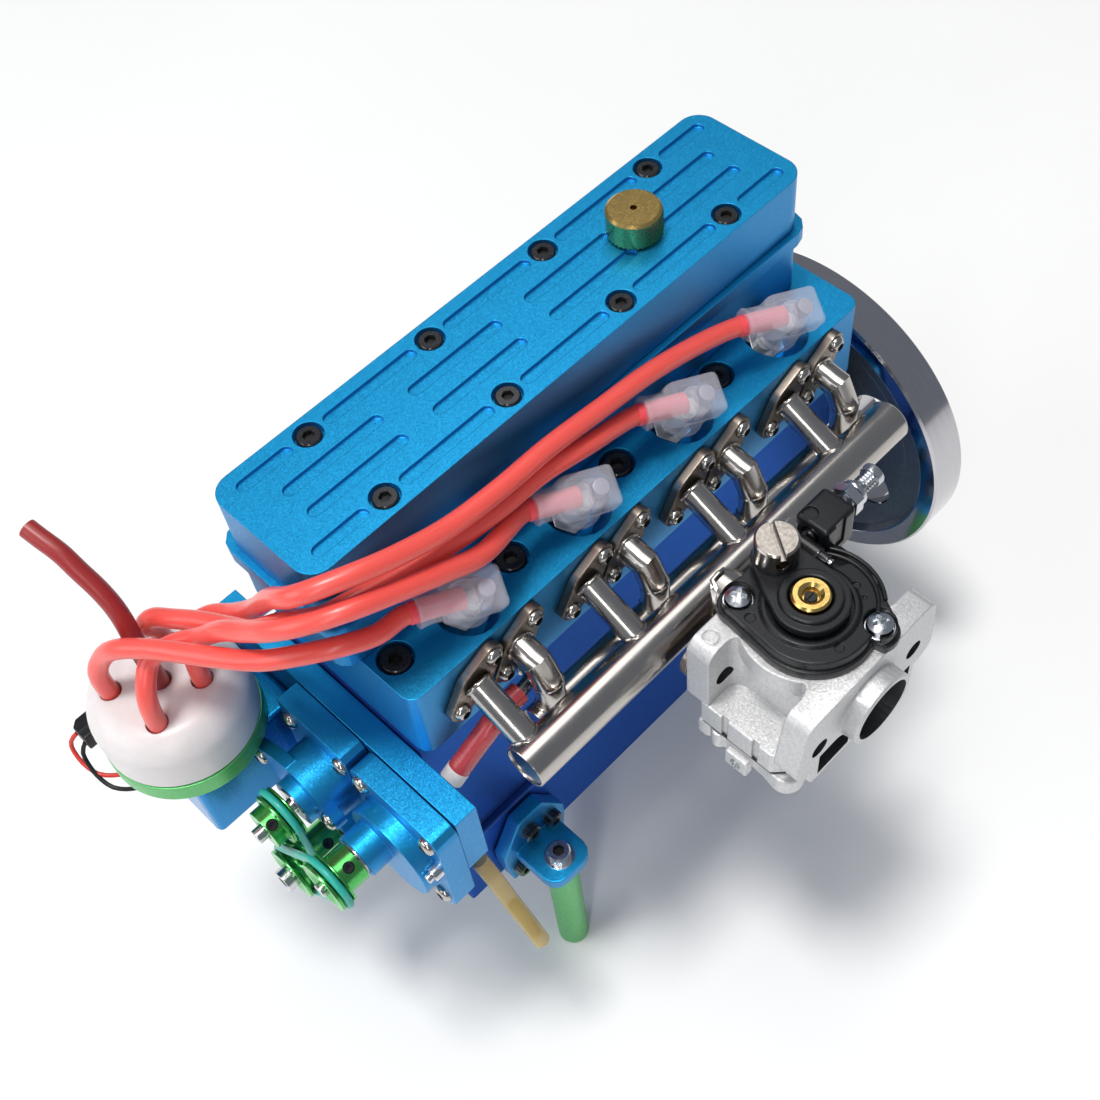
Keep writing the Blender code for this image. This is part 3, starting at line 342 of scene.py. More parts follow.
def sweep(points, radius, sides=32, spacing=0.0, swell=None):
    """A round bar along points, mitred at corners. swell gives the radius's factor along its length."""
    points = [Vector(p) for p in points]
    if spacing:
        points = smooth_route(points, spacing)
    shape = bmesh.new()
    rings = []
    across = None
    count = len(points)
    for i, point in enumerate(points):
        inner = 0 < i < count - 1
        ahead = (points[i + 1] - point).normalized() if i < count - 1 else Vector()
        behind = (point - points[i - 1]).normalized() if i else Vector()
        along = (ahead + behind).normalized()
        mitre = 1 / max(0.5, along.dot(ahead)) if inner else 1.0
        if across is None:
            across = along.orthogonal().normalized()
        across = (across - along * across.dot(along)).normalized()
        other = along.cross(across)
        bend = (ahead - behind) - along * (ahead - behind).dot(along) if inner else Vector()
        bend = bend.normalized() if bend.length > 1e-6 else Vector()
        size = radius * (swell(i / (count - 1)) if swell else 1.0)
        ring = []
        for k in range(sides):
            turn = 2 * math.pi * k / sides
            out = (across * math.cos(turn) + other * math.sin(turn)) * size
            out += bend * out.dot(bend) * (mitre - 1)
            ring.append(shape.verts.new(point + out))
        rings.append(ring)
    for ring, after in zip(rings, rings[1:]):
        for k in range(sides):
            m = (k + 1) % sides
            shape.faces.new((ring[k], ring[m], after[m], after[k]))
    shape.faces.new(rings[0])
    shape.faces.new(rings[-1])
    bmesh.ops.recalc_face_normals(shape, faces=shape.faces)
    return shape


def temporary(shape):
    """An object that holds a shape while a boolean uses it."""
    mesh = bpy.data.meshes.new("temporary")
    shape.to_mesh(mesh)
    shape.free()
    made = bpy.data.objects.new("temporary", mesh)
    bpy.context.scene.collection.objects.link(made)
    return made


def combined(shape, tools, operation):
    """A shape after one boolean operation with each of the tools."""
    body = temporary(shape)
    cutters = [temporary(tool) for tool in tools]
    for cutter in cutters:
        step = body.modifiers.new("step", "BOOLEAN")
        step.operation = operation
        step.object = cutter
        step.solver = "EXACT"
    bpy.context.view_layer.update()
    mesh = bpy.data.meshes.new_from_object(body.evaluated_get(bpy.context.evaluated_depsgraph_get()))
    made = bmesh.new()
    made.from_mesh(mesh)
    for thing in [body, *cutters]:
        bpy.data.objects.remove(thing)
    bmesh.ops.remove_doubles(made, verts=made.verts, dist=1e-4)
    return made


def cut(shape, *tools):
    return combined(shape, tools, "DIFFERENCE")


def unite(shape, *tools):
    return combined(shape, tools, "UNION")


def painted(shape, index):
    for face in shape.faces:
        face.material_index = index
    return shape


def together(*shapes):
    """Several closed shapes in one piece."""
    whole = bmesh.new()
    for shape in shapes:
        mesh = bpy.data.meshes.new("part")
        shape.to_mesh(mesh)
        shape.free()
        whole.from_mesh(mesh)
        bpy.data.meshes.remove(mesh)
    return whole


def cad(name):
    """A CAD node's shape in the engine frame, with its flat faces whole again."""
    shape = bmesh.new()
    shape.from_mesh(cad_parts[name].data)
    bmesh.ops.scale(shape, vec=(1 / MM,) * 3, verts=shape.verts)
    bmesh.ops.translate(shape, vec=ORIGIN, verts=shape.verts)
    bmesh.ops.remove_doubles(shape, verts=shape.verts, dist=1e-3)
    whole_again(shape)
    return shape


def shown(shape, name, body, finishes, replaces=(), smooth=32.0):
    """Make a piece of a shape: it rides on a body, stands for CAD nodes and takes the given finishes."""
    bmesh.ops.translate(shape, vec=-ORIGIN, verts=shape.verts)
    bmesh.ops.scale(shape, vec=(MM,) * 3, verts=shape.verts)
    mesh = bpy.data.meshes.new(name)
    shape.to_mesh(mesh)
    shape.free()
    for finish in finishes if isinstance(finishes, (list, tuple)) else [finishes]:
        mesh.materials.append(finish)
    mesh.shade_smooth()
    mesh.set_sharp_from_angle(angle=math.radians(smooth))
    piece = bpy.data.objects.new(name, mesh)
    bpy.context.scene.collection.objects.link(piece)
    even = piece.modifiers.new("even_normals", "WEIGHTED_NORMAL")
    even.keep_sharp = True
    even.weight = 100
    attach(piece, body)
    if replaces:
        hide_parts(*replaces)
    return piece


# --- finishes ---------------------------------------------------------------------------------------------


HEAT_TINTS = [
    (0.16, (0.50, 0.47, 0.44, 1)),
    (0.32, (0.50, 0.39, 0.22, 1)),
    (0.5, (0.44, 0.27, 0.09, 1)),
    (0.7, (0.22, 0.13, 0.09, 1)),
    (1.0, (0.16, 0.12, 0.10, 1)),
]


def tinted(tree, base, place, grain):
    """The base colour under the tint that a weld's heat leaves, by the mesh's heat attribute."""
    broad = node(tree, "ShaderNodeTexNoise", {"Vector": place, "Scale": grain, "Detail": 2.0}).outputs["Fac"]
    heat = node(tree, "ShaderNodeAttribute", attribute_name="heat").outputs["Fac"]
    uneven = node(tree, "ShaderNodeMath", {0: broad, 1: 0.2, 2: heat}, operation="MULTIPLY_ADD").outputs[0]
    ramp = node(tree, "ShaderNodeValToRGB", {"Fac": uneven})
    stops = ramp.color_ramp.elements
    for position, _ in HEAT_TINTS[1:-1]:
        stops.new(position)
    for stop, (position, tint) in zip(stops, HEAT_TINTS):
        stop.position, stop.color = position, tint
    return mix(tree, 0.9, base, ramp.outputs["Color"])


def flaked(tree, normal, place, size, strength):
    """A normal that leans its own way in each small cell, as on blasted metal."""

    def vector(operation, inputs):
        return node(tree, "ShaderNodeVectorMath", inputs, operation=operation).outputs["Vector"]

    cells = node(tree, "ShaderNodeTexVoronoi", {"Vector": place, "Scale": 1 / (size * MM)}).outputs["Color"]
    tilt = vector("SCALE", {0: vector("SUBTRACT", {0: cells, 1: (0.5, 0.5, 0.5)}), "Scale": strength})
    return vector("NORMALIZE", {0: vector("ADD", {0: normal, 1: tilt})})


def finish(
    name, colour, second, metallic, roughness, vary, grain, stretch=(1.0, 1.0, 1.0), bump=0.05, depth=0.1,
    flakes=0.0, flake_size=0.35, painted_top_highlight=None, heat=False, edge=0.0, coords="Object", **shader_values,
):
    """A procedural finish: two colours mixed by a grain, with roughness and bump from the same grain.

    Flakes are the facets of blasted metal, the top colour is a painted highlight on faces that look up, heat
    asks for the heat attribute's tint, and edge is the radius of a shaded edge. Sizes are in millimetres,
    grain is in 1/m.
    """
    made = bpy.data.materials.new(name)
    made.use_nodes = True
    tree = made.node_tree
    shader = tree.nodes["Principled BSDF"]
    place = node(tree, "ShaderNodeTexCoord").outputs[coords]
    spread = node(tree, "ShaderNodeMapping", {"Vector": place, "Scale": stretch}).outputs["Vector"]
    fine = {"Vector": spread, "Scale": grain, "Detail": 4.0, "Roughness": 0.65}
    fine = node(tree, "ShaderNodeTexNoise", fine).outputs["Fac"]
    base = mix(tree, ranged(tree, fine, (0.32, 0.68)), (*colour, 1.0), (*second, 1.0))
    normal = node(tree, "ShaderNodeNewGeometry").outputs["Normal"]
    # faces that look up take the top colour, a painted highlight where the light falls from above
    if painted_top_highlight:
        height = node(tree, "ShaderNodeSeparateXYZ", {"Vector": normal}).outputs["Z"]
        up = ranged(tree, height, (0.55, 0.9))
        base = mix(tree, up, base, (*painted_top_highlight, 1.0))
    if heat:
        base = tinted(tree, base, place, grain / 14)
    rough = ranged(tree, fine, (0.3, 0.7), (roughness - vary, roughness + vary))
    if edge:
        normal = node(tree, "ShaderNodeBevel", {"Radius": edge * MM}, samples=4).outputs["Normal"]
    if flakes:
        strength = ranged(tree, up, (0.0, 1.0), (flakes * 0.25, flakes)) if painted_top_highlight else flakes
        normal = flaked(tree, normal, place, flake_size, strength)
    pits = node(tree, "ShaderNodeBump", {"Height": fine, "Strength": bump, "Distance": depth * MM})
    if edge or flakes:
        tree.links.new(normal, pits.inputs["Normal"])
    tree.links.new(pits.outputs["Normal"], shader.inputs["Normal"])
    tree.links.new(base, shader.inputs["Base Color"])
    tree.links.new(rough, shader.inputs["Roughness"])
    shader.inputs["Metallic"].default_value = metallic
    for key, value in shader_values.items():
        shader.inputs[key.replace("_", " ").title().replace("Ior", "IOR")].default_value = value
    return made


# its top colour is a painted highlight on faces that look up
BLUE = finish(
    "anodised_blue_blasted", (0.030, 0.29, 0.62), (0.022, 0.24, 0.54), 0.82, 0.40, 0.05, 2600.0,
    bump=0.12, depth=0.05, flakes=0.13, flake_size=0.2, painted_top_highlight=(0.012, 0.33, 0.66), edge=0.3,
)
# its top colour is a painted highlight on faces that look up
BLUE_SMOOTH = finish(
    "anodised_blue_machined", (0.02, 0.26, 0.58), (0.015, 0.22, 0.52), 0.9, 0.26, 0.05, 1500.0,
    stretch=(1.0, 1.0, 6.0), bump=0.06, depth=0.05, painted_top_highlight=(0.012, 0.34, 0.70), edge=0.3,
)
ROYAL = finish(
    "anodised_royal_blue", (0.040, 0.115, 0.40), (0.034, 0.10, 0.35), 0.8, 0.36, 0.05, 1200.0,
    stretch=(0.4, 1.0, 6.0), bump=0.05, depth=0.05, edge=0.3, specular_tint=(0.25, 0.42, 0.85, 1.0),
)
GREEN = finish(
    "anodised_green", (0.10, 0.50, 0.13), (0.08, 0.42, 0.10), 0.9, 0.22, 0.05, 900.0,
    bump=0.04, depth=0.05,
)
GREEN_SATIN = finish(
    "anodised_green_satin", (0.13, 0.50, 0.17), (0.11, 0.44, 0.14), 0.55, 0.38, 0.06, 1400.0,
    bump=0.06, depth=0.06,
)
STAINLESS = finish(
    "stainless_tube", (0.52, 0.49, 0.46), (0.46, 0.43, 0.40), 1.0, 0.20, 0.03, 260.0,
    bump=0.015, depth=0.05, heat=True,
)
FLANGE_STEEL = finish(
    "stainless_plate", (0.30, 0.26, 0.22), (0.20, 0.17, 0.145), 1.0, 0.34, 0.08, 900.0,
    bump=0.10, depth=0.08, edge=0.2,
)
STEEL = finish(
    "bright_steel", (0.60, 0.60, 0.61), (0.52, 0.52, 0.53), 1.0, 0.2, 0.06, 800.0, bump=0.03, depth=0.05,
)
POLISHED = finish(
    "polished_flywheel_rim", (0.58, 0.57, 0.59), (0.50, 0.49, 0.52), 1.0, 0.13, 0.04, 350.0,
    stretch=(16.0, 0.3, 0.3), bump=0.03, depth=0.05,
)
FLYWHEEL_FACE = finish(
    "turned_flywheel_face", (0.20, 0.235, 0.27), (0.16, 0.19, 0.225), 0.9, 0.42, 0.06, 700.0,
    bump=0.06, depth=0.05,
)
SCREW_STEEL = finish(
    "stainless_screw", (0.52, 0.50, 0.47), (0.40, 0.38, 0.35), 1.0, 0.2, 0.07, 1500.0, bump=0.05, depth=0.05,
)
BLACK_SCREW = finish(
    "blackened_screw", (0.016, 0.016, 0.018), (0.03, 0.03, 0.032), 0.4, 0.22, 0.08, 2500.0,
    bump=0.08, depth=0.04, coat_weight=0.6, coat_roughness=0.12,
)
# near-black painted shade for screw sockets, the exhaust outlet and the needle's recess
PAINTED_SHADE_BLACK = finish("painted_shade_black", (0.01, 0.01, 0.011), (0.02, 0.02, 0.02), 0.2, 0.5, 0.05, 2000.0)
ZINC = finish(
    "bright_zinc", (0.66, 0.68, 0.70), (0.52, 0.55, 0.58), 1.0, 0.22, 0.07, 1600.0, bump=0.12, depth=0.05,
)
NICKEL = finish(
    "nickel", (0.36, 0.33, 0.30), (0.30, 0.27, 0.24), 1.0, 0.2, 0.05, 1100.0, bump=0.03, depth=0.05,
)
BRASS = finish(
    "brass", (0.72, 0.50, 0.17), (0.60, 0.41, 0.13), 1.0, 0.24, 0.06, 1300.0, bump=0.08, depth=0.05,
)
CAST = finish(
    "cast_aluminium", (0.68, 0.68, 0.68), (0.56, 0.56, 0.565), 0.68, 0.50, 0.09, 1500.0,
    bump=0.38, depth=0.14, flakes=0.12, flake_size=0.3, edge=0.5,
)
# painted shade for the carburettor's throat, lug holes and pockets
CAST_IN_PAINTED_SHADE = finish(
    "cast_aluminium_in_shade", (0.05, 0.052, 0.058), (0.035, 0.036, 0.04), 0.5, 0.5, 0.08, 1500.0, bump=0.2,
)
BLACK = finish(
    "black_nylon", (0.006, 0.0065, 0.008), (0.010, 0.011, 0.013), 0.0, 0.33, 0.08, 2200.0,
    bump=0.12, depth=0.05, edge=0.4, specular_ior_level=0.32,
)
RUBBER = finish("gasket", (0.008, 0.008, 0.009), (0.015, 0.015, 0.015), 0.0, 0.7, 0.08, 1500.0)
DOME = finish(
    "milky_dome", (0.74, 0.70, 0.70), (0.71, 0.67, 0.66), 0.0, 0.34, 0.03, 300.0, bump=0.02, depth=0.05,
    subsurface_weight=0.6, subsurface_radius=(0.9, 0.7, 0.6), subsurface_scale=0.003,
)
BOOT = finish(
    "milky_boot", (0.80, 0.79, 0.86), (0.77, 0.76, 0.83), 0.0, 0.22, 0.02, 160.0, bump=0.0,
    ior=1.3, alpha=0.27, edge=0.5,
)
LEAD = finish(
    "red_silicone_lead", (0.92, 0.12, 0.10), (0.82, 0.075, 0.058), 0.0, 0.33, 0.08, 24.0,
    stretch=(1.0, 4.0, 1.0), coords="UV", bump=0.10, depth=0.2,
    subsurface_weight=0.12, subsurface_radius=(1.0, 0.2, 0.1), subsurface_scale=0.002,
    coat_weight=0.25, coat_roughness=0.25,
)
COIL_RED = finish(
    "red_silicone_coil_lead", (0.36, 0.028, 0.028), (0.29, 0.02, 0.02), 0.0, 0.36, 0.08, 24.0,
    stretch=(1.0, 4.0, 1.0), coords="UV", bump=0.08, depth=0.2,
    subsurface_weight=0.1, subsurface_radius=(1.0, 0.2, 0.1), subsurface_scale=0.002,
)
LEAD_CORE = finish(
    "lead_conductor", (0.08, 0.05, 0.045), (0.13, 0.09, 0.07), 0.6, 0.4, 0.08, 2500.0, bump=0.3,
)
PINK = finish("lead_in_boot", (0.90, 0.10, 0.12), (0.84, 0.07, 0.09), 0.0, 0.35, 0.05, 900.0)
HOSE = finish(
    "red_hose", (0.62, 0.09, 0.10), (0.55, 0.065, 0.075), 0.0, 0.26, 0.03, 160.0, bump=0.0,
    transmission_weight=0.3, ior=1.4, coat_weight=0.3,
)
WHITE_HOSE = finish("white_sleeve", (0.80, 0.78, 0.77), (0.72, 0.69, 0.68), 0.0, 0.4, 0.08, 900.0, bump=0.2)
AMBER = finish(
    "amber_tube", (0.62, 0.46, 0.15), (0.56, 0.40, 0.12), 0.0, 0.22, 0.02, 160.0, bump=0.0,
    ior=1.35, alpha=0.6,
)
OIL = finish("oil_in_tube", (0.30, 0.19, 0.03), (0.25, 0.15, 0.02), 0.0, 0.4, 0.05, 700.0)
BELT = finish(
    "teal_belt", (0.02, 0.44, 0.34), (0.03, 0.36, 0.29), 0.0, 0.36, 0.08, 1500.0, bump=0.12, depth=0.06,
    subsurface_weight=0.2, subsurface_radius=(0.2, 0.6, 0.5), subsurface_scale=0.001,
)
CERAMIC = finish("ceramic", (0.82, 0.81, 0.79), (0.77, 0.76, 0.74), 0.0, 0.25, 0.05, 900.0)
RED_WIRE = finish("red_wire", (0.70, 0.04, 0.03), (0.60, 0.03, 0.02), 0.0, 0.35, 0.06, 1500.0)
RIVET = finish("rivet_under_skin", (0.42, 0.41, 0.50), (0.36, 0.35, 0.44), 0.3, 0.35, 0.06, 1500.0)
PISTON_METAL = finish("piston_aluminium", (0.6, 0.6, 0.6), (0.5, 0.5, 0.5), 0.9, 0.35, 0.06, 900.0, bump=0.08)


# --- leads ------------------------------------------------------------------------------------------------

LEDGE = 144.0
DIST = (-47.0, 23.0)
RING_TOP = 112.0
CAP_BASE, CAP_TOP = 112.3, 128.0
CAP_R = 18.3
TOWERS = [
    (DIST[0] - 9.1, DIST[1] + 6.1),
    (DIST[0] - 6.9, DIST[1] - 8.0),
    (DIST[0] + 7.0, DIST[1] + 7.0),
    (DIST[0] + 6.4, DIST[1] - 6.7),
    DIST,
]
TOWER_FLOOR = CAP_TOP - 5.0
PLUG_DX, PLUG_Y = 5.2, -22.2
PLUG_LEAN = math.radians(28.0)
BOOT_TURN = math.radians(-24.0)
BOOT_LEVEL = 12.0
LEAD_D, SENSOR_WIRE_D = 4.4, 1.1


def well_place(i, turn=0.0):
    """The matrix from a plug's own frame, with its origin at the well's mouth, to the engine frame."""
    mouth = Matrix.Translation((STATIONS[i] + PLUG_DX, PLUG_Y, LEDGE))
    return mouth @ Matrix.Rotation(PLUG_LEAN, 4, "X") @ Matrix.Rotation(turn, 4, "Z")


def boot_end(i, reach):
    """The point on a boot's wire axis at a distance behind its plug."""
    return tuple(well_place(i, BOOT_TURN) @ Vector((-reach, 0, BOOT_LEVEL)))


def lead_routes():
    """The route of each lead: out of its tower, over the head and into its boot."""
    a, b, c, d, coil = [(*tower, TOWER_FLOOR) for tower in TOWERS]
    return {
        "plug_lead_1": [
            a, (a[0] - 0.2, a[1], 135), (-53.8, 27, 142), (-51.5, 22.3, 147.5), (-48, 16, 150.5),
            (-45, 10, 152.5), (-40, 0.5, 154.5), (-35, -7.5, 156), (-29.5, -14, 158.5), (-23, -19.5, 160),
            (-16, -22, 158.5), boot_end(0, 15.5), boot_end(0, 6.5),
        ],
        "plug_lead_2": [
            b, (b[0] + 0.3, b[1] - 0.3, 134), (-51.5, 16, 140), (-47.5, 17.5, 144), (-43, 14.5, 147.5),
            (-38.5, 9, 151), (-36.2, 2, 158.3), (-34, -5, 163), (-31.7, -12.2, 168.5), (-27.5, -18, 172),
            (-20, -23, 173.5), (-10, -25, 170.5), (0, -26, 166.5), (10, -26, 162), boot_end(1, 15.5),
            boot_end(1, 6.5),
        ],
        "plug_lead_3": [
            c, (c[0] - 0.5, c[1], 134), (-43, 28.5, 139), (-41, 26.5, 142.5), (-38.5, 21.5, 144.5),
            (-35.5, 15, 147), (-32.6, 7, 150), (-31.3, -0.8, 155.6), (-28.8, -7, 161.5),
            (-26.8, -12.5, 166.5), (-23, -17.3, 168.6), (-17.5, -19, 169), (-6.5, -20.5, 167),
            (5.5, -21.2, 165), (18, -21.7, 164), (30.5, -22, 164), (43, -22.5, 161.5),
            boot_end(2, 15.5), boot_end(2, 6.5),
        ],
        "plug_lead_4": [
            d, (d[0] + 0.2, d[1], 131.5), (-39, 18, 136), (-36, 20.5, 139), (-32, 18.5, 141.5),
            (-29, 12, 145.5), (-26.9, 5, 152.5), (-27.2, -6, 168), (-26.2, -15, 177), (-17.5, -20.5, 179),
            (-7, -22.5, 176.5), (5.5, -23, 173), (19, -22.5, 170.8), (33.5, -21.3, 168.8),
            (49, -20.8, 166.3), (64.5, -20.6, 164), (79, -21, 160.5), boot_end(3, 15.5), boot_end(3, 6.5),
        ],
        "coil_lead": [
            coil, (coil[0] - 0.5, coil[1] - 0.5, 133), (-47.2, 24, 141), (-46.2, 27.8, 149),
            (-46.3, 31.5, 154), (-47, 36, 158), (-47.5, 40, 161), (-48.5, 45, 163), (-49, 48, 164),
        ],
    }


def curve_bar(name, points, diameter, material, resolution=7, closed=False):
    """A round bar whose centreline is a curve through points in the row frame."""
    curve = bpy.data.curves.new(name, "CURVE")
    curve.dimensions = "3D"
    curve.bevel_depth = diameter / 2 * MM
    curve.bevel_resolution = resolution
    curve.use_fill_caps = not closed
    line = curve.splines.new("POLY")
    line.use_cyclic_u = closed
    line.points.add(len(points) - 1)
    for point, place in zip(line.points, points):
        point.co = (*place, 1.0)
    curve.materials.append(material)
    piece = bpy.data.objects.new(name, curve)
    bpy.context.scene.collection.objects.link(piece)
    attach(piece, "engine")
    return piece


def cord_bar(name, route, diameter, material):
    """A cord's bar along a smooth route, with its points and its length in metres."""
    points = [at(*p) for p in smooth_route([Vector(p) for p in route], 1.6)]
    piece = curve_bar(name, points, diameter, material)
    return piece, points, sum((b - a).length for a, b in zip(points, points[1:]))


def leads():
    """The five leads. The coil's is cut off and shows its core."""
    for name, route in lead_routes().items():
        coil = name == "coil_lead"
        piece, points, length = cord_bar(name + "_wire", route, LEAD_D, COIL_RED if coil else LEAD)
        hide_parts(name)
        if coil:
            along = (points[-1] - points[-2]).normalized()
            tip = points[-1] / MM + ORIGIN
            core = lathe([(0, 0.22), (0.55, 0.22), (0.75, 0.05), (0.75, -0.6), (0, -0.6)], sides=20)
            strand = lathe([(0, 0.32), (0.28, 0.25), (0.3, 0), (0, 0)], sides=10)
            core = together(core, moved(strand, Matrix.Translation((0.15, 0.1, 0.0))))
            shown(moved(core, facing(tip, along)), "coil_lead_core", "engine", LEAD_CORE)


def facing(spot, direction, spin=0.0):
    """The matrix that carries a shape's +Z at the origin to a direction at a spot."""
    turn = Vector(direction).to_track_quat("Z", "Y").to_matrix().to_4x4()
    return Matrix.Translation(spot) @ turn @ Matrix.Rotation(spin, 4, "Z")


# --- screws -----------------------------------------------------------------------------------------------


def hexagon(radius):
    return arc((0, 0), radius, 30, 330, 5)


def socketed(head, height, depth, socket):
    """Cut a hexagon socket and give its inside the second finish, which is painted shade."""
    head = cut(head, prism(hexagon(socket), (height * depth, height + 1)))
    for face in head.faces:
        middle = face.calc_center_median()
        inside = math.hypot(middle.x, middle.y) < socket * 0.99
        face.material_index = 1 if inside and middle.z < height - 0.02 else 0
    return head


def cap_screw(radius, height, socket):
    """A socket head: chamfered rim, knurled side and a hexagon socket."""
    sides = 36
    profile = [(0, height), (radius * 0.86, height), (radius, height - radius * 0.14), (radius, 0), (0, 0)]
    head = lathe(profile, sides=sides)
    for v in head.verts:
        flat = math.hypot(v.co.x, v.co.y)
        if flat > radius * 0.95 and round(math.atan2(v.co.y, v.co.x) / (2 * math.pi) * sides) % 2:
            v.co.x *= 0.965
            v.co.y *= 0.965
    return socketed(head, height, 0.35, socket)


def button_screw(radius, height, socket):
    """A low dome with a hexagon socket."""
    steps = [math.pi / 2 * i / 6 for i in range(6)]
    dome = [(radius * math.sin(a), height * math.cos(a) ** 0.8) for a in steps]
    head = lathe([(0, height), *dome[1:], (radius, height * 0.12), (radius, 0), (0, 0)], sides=28)
    return socketed(head, height, 0.25, socket)


def cross_screw(radius, height):
    """A pan head with a cross recess."""
    dome = [(radius * 0.6, height * 0.96), (radius * 0.93, height * 0.7), (radius, height * 0.3)]
    head = lathe([(0, height), *dome, (radius, 0), (0, 0)], sides=32)
    arm, width = (-radius * 0.62, radius * 0.62), (-radius * 0.15, radius * 0.15)
    deep = (height * 0.45, height + 1)
    return cut(head, brick(arm, width, deep), brick(width, arm, deep))


def copies(prototype, places):
    shapes = [moved(prototype.copy(), place) for place in places]
    prototype.free()
    return together(*shapes)


def screws(name, prototype, spots, direction, material):
    """One head at each spot, each turned its own way. The second finish is painted shade in the sockets."""
    chance = random.Random(len(name) + len(spots))
    places = [facing(spot, direction, chance.uniform(0, math.pi)) for spot in spots]
    shown(copies(prototype, places), name, "engine", [material, PAINTED_SHADE_BLACK])


# --- castings ---------------------------------------------------------------------------------------------

COVER_X = (-22.6, 120.4)
SCREW_SEAT = 2.2
COVER_Y = (-16.0, 16.0)
BOX_TOP, COVER_TOP = 163.0, 178.0
ROW_OUTER, ROW_INNER = 11.4, 3.7
SLOT_R, SLOT_DEPTH = 1.5, 0.9
CAP_X = 2.5 * PITCH


def softened(name, piece, edge, material):
    """A piece in the shape of its CAD node, with soft edges."""
    shown(soften(cad(name), edge), piece, "engine", material, [name])


def slot_tool(x0, x1, y):
    """The cutter of one round-ended groove in the cover's top."""
    outline = arc((x1, y), SLOT_R, -90, 90, 8) + arc((x0, y), SLOT_R, 90, 270, 8)
    return prism(outline, (COVER_TOP - SLOT_DEPTH, COVER_TOP + 1))


def rocker_cover():
    """The blasted cover: two rows of counterbored screws with grooves between them."""
    cover = prism(rounded(COVER_X, COVER_Y, 5.0, 8), (BOX_TOP, COVER_TOP))
    tools = []
    reach = 11.2
    first, last = STATIONS[0], STATIONS[-1]
    for side in (-1, 1):
        outer, inner = side * ROW_OUTER, side * ROW_INNER
        for x in STATIONS:
            tools.append(rod("Z", (x, outer), (COVER_TOP - SCREW_SEAT, COVER_TOP + 1), 3.25, 32, 0))
            tools.append(slot_tool(x - reach, x + reach, inner))
        for x in STATIONS[:-1]:
            tools.append(slot_tool(x + 5.7, x + PITCH - 5.7, outer))
        tools.append(slot_tool(first - 16.6, first - 5.9, outer))
        tools.append(slot_tool(last + 5.9, last + 16.6, outer))
    tools.append(rod("Z", (CAP_X, 0), (COVER_TOP - 6, COVER_TOP + 1), 4.3, 32, 0))
    cover = soften(cut(cover, *tools), 0.32, 2)
    shown(cover, "rocker_cover_blasted", "engine", BLUE, ["rocker_cover"])

    spots = [(x, side * ROW_OUTER, COVER_TOP - SCREW_SEAT) for x in STATIONS for side in (-1, 1)]
    screws("rocker_cover_screws", cap_screw(2.75, 2.0, 1.35), spots, (0, 0, 1), BLACK_SCREW)


def castings():
    """The pieces that keep their CAD shape, with the head's and rear plate's screws."""
    softened("rocker_box", "rocker_box_body", 0.5, BLUE)
    softened("cylinder_head", "head_casting", 0.5, BLUE)
    softened("cylinder_block", "block_casting", 0.4, ROYAL)
    softened("oil_pan", "sump", 0.6, ROYAL)
    softened("rear_bearing_plate", "rear_plate", 0.4, BLUE_SMOOTH)
    spots = [(x - 13.2, -20.5, LEDGE - 3.5) for x in STATIONS]
    screws("head_bolts", cap_screw(3.5, 3.3, 1.7), spots, (0, 0, 1), BLACK_SCREW)
    corners = [(124.8 + 4.3, y, z) for y in (-22, 16) for z in (58, 98)]
    screws("rear_plate_screws", button_screw(2.4, 1.6, 1.1), corners, (1, 0, 0), SCREW_STEEL)


def filler_cap():
    """A knurled brass cap with a small vent."""
    sides, rows, radius = 72, 12, 6.25
    low, high = COVER_TOP + 0.9, COVER_TOP + 6.1
    profile = [(0, COVER_TOP + 7), (5.5, COVER_TOP + 7), (6.1, COVER_TOP + 6.5)]
    profile += [(radius, high + (low - high) * i / rows) for i in range(rows + 1)]
    profile += [(5.7, COVER_TOP + 0.3), (3.9, COVER_TOP + 0.3), (3.9, COVER_TOP - 5), (0, COVER_TOP - 5)]
    cap = lathe(profile, sides=sides)
    for v in cap.verts:
        if abs(math.hypot(v.co.x, v.co.y) - radius) < 0.01:
            row = round((high - v.co.z) / (high - low) * rows)
            column = round(math.atan2(v.co.y, v.co.x) / (2 * math.pi) * sides)
            if (row + column) % 2:
                v.co.x *= 0.955
                v.co.y *= 0.955
    cap = cut(cap, rod("Z", (0, 0), (COVER_TOP + 3, COVER_TOP + 8), 0.75, 20, 0))
    moved(cap, Matrix.Translation((CAP_X, 0, 0)))
    shown(cap, "knurled_filler_cap", "cap", BRASS, ["filler_cap"], 20.0)


# --- front of the engine ----------------------------------------------------------------------------------

FRONT = -31.0
IDLER, PUMP, CRANK = (-8.0, 102.0), (-28.0, 102.0), (-8.0, 76.0)
BELT_INNER, BELT_OUTER = -45.8, -48.8
BELT_D = 1.8
PULLEY_R, CRANK_PULLEY_R = 6.7, 7.2
GRUB_TURN = math.radians(120)


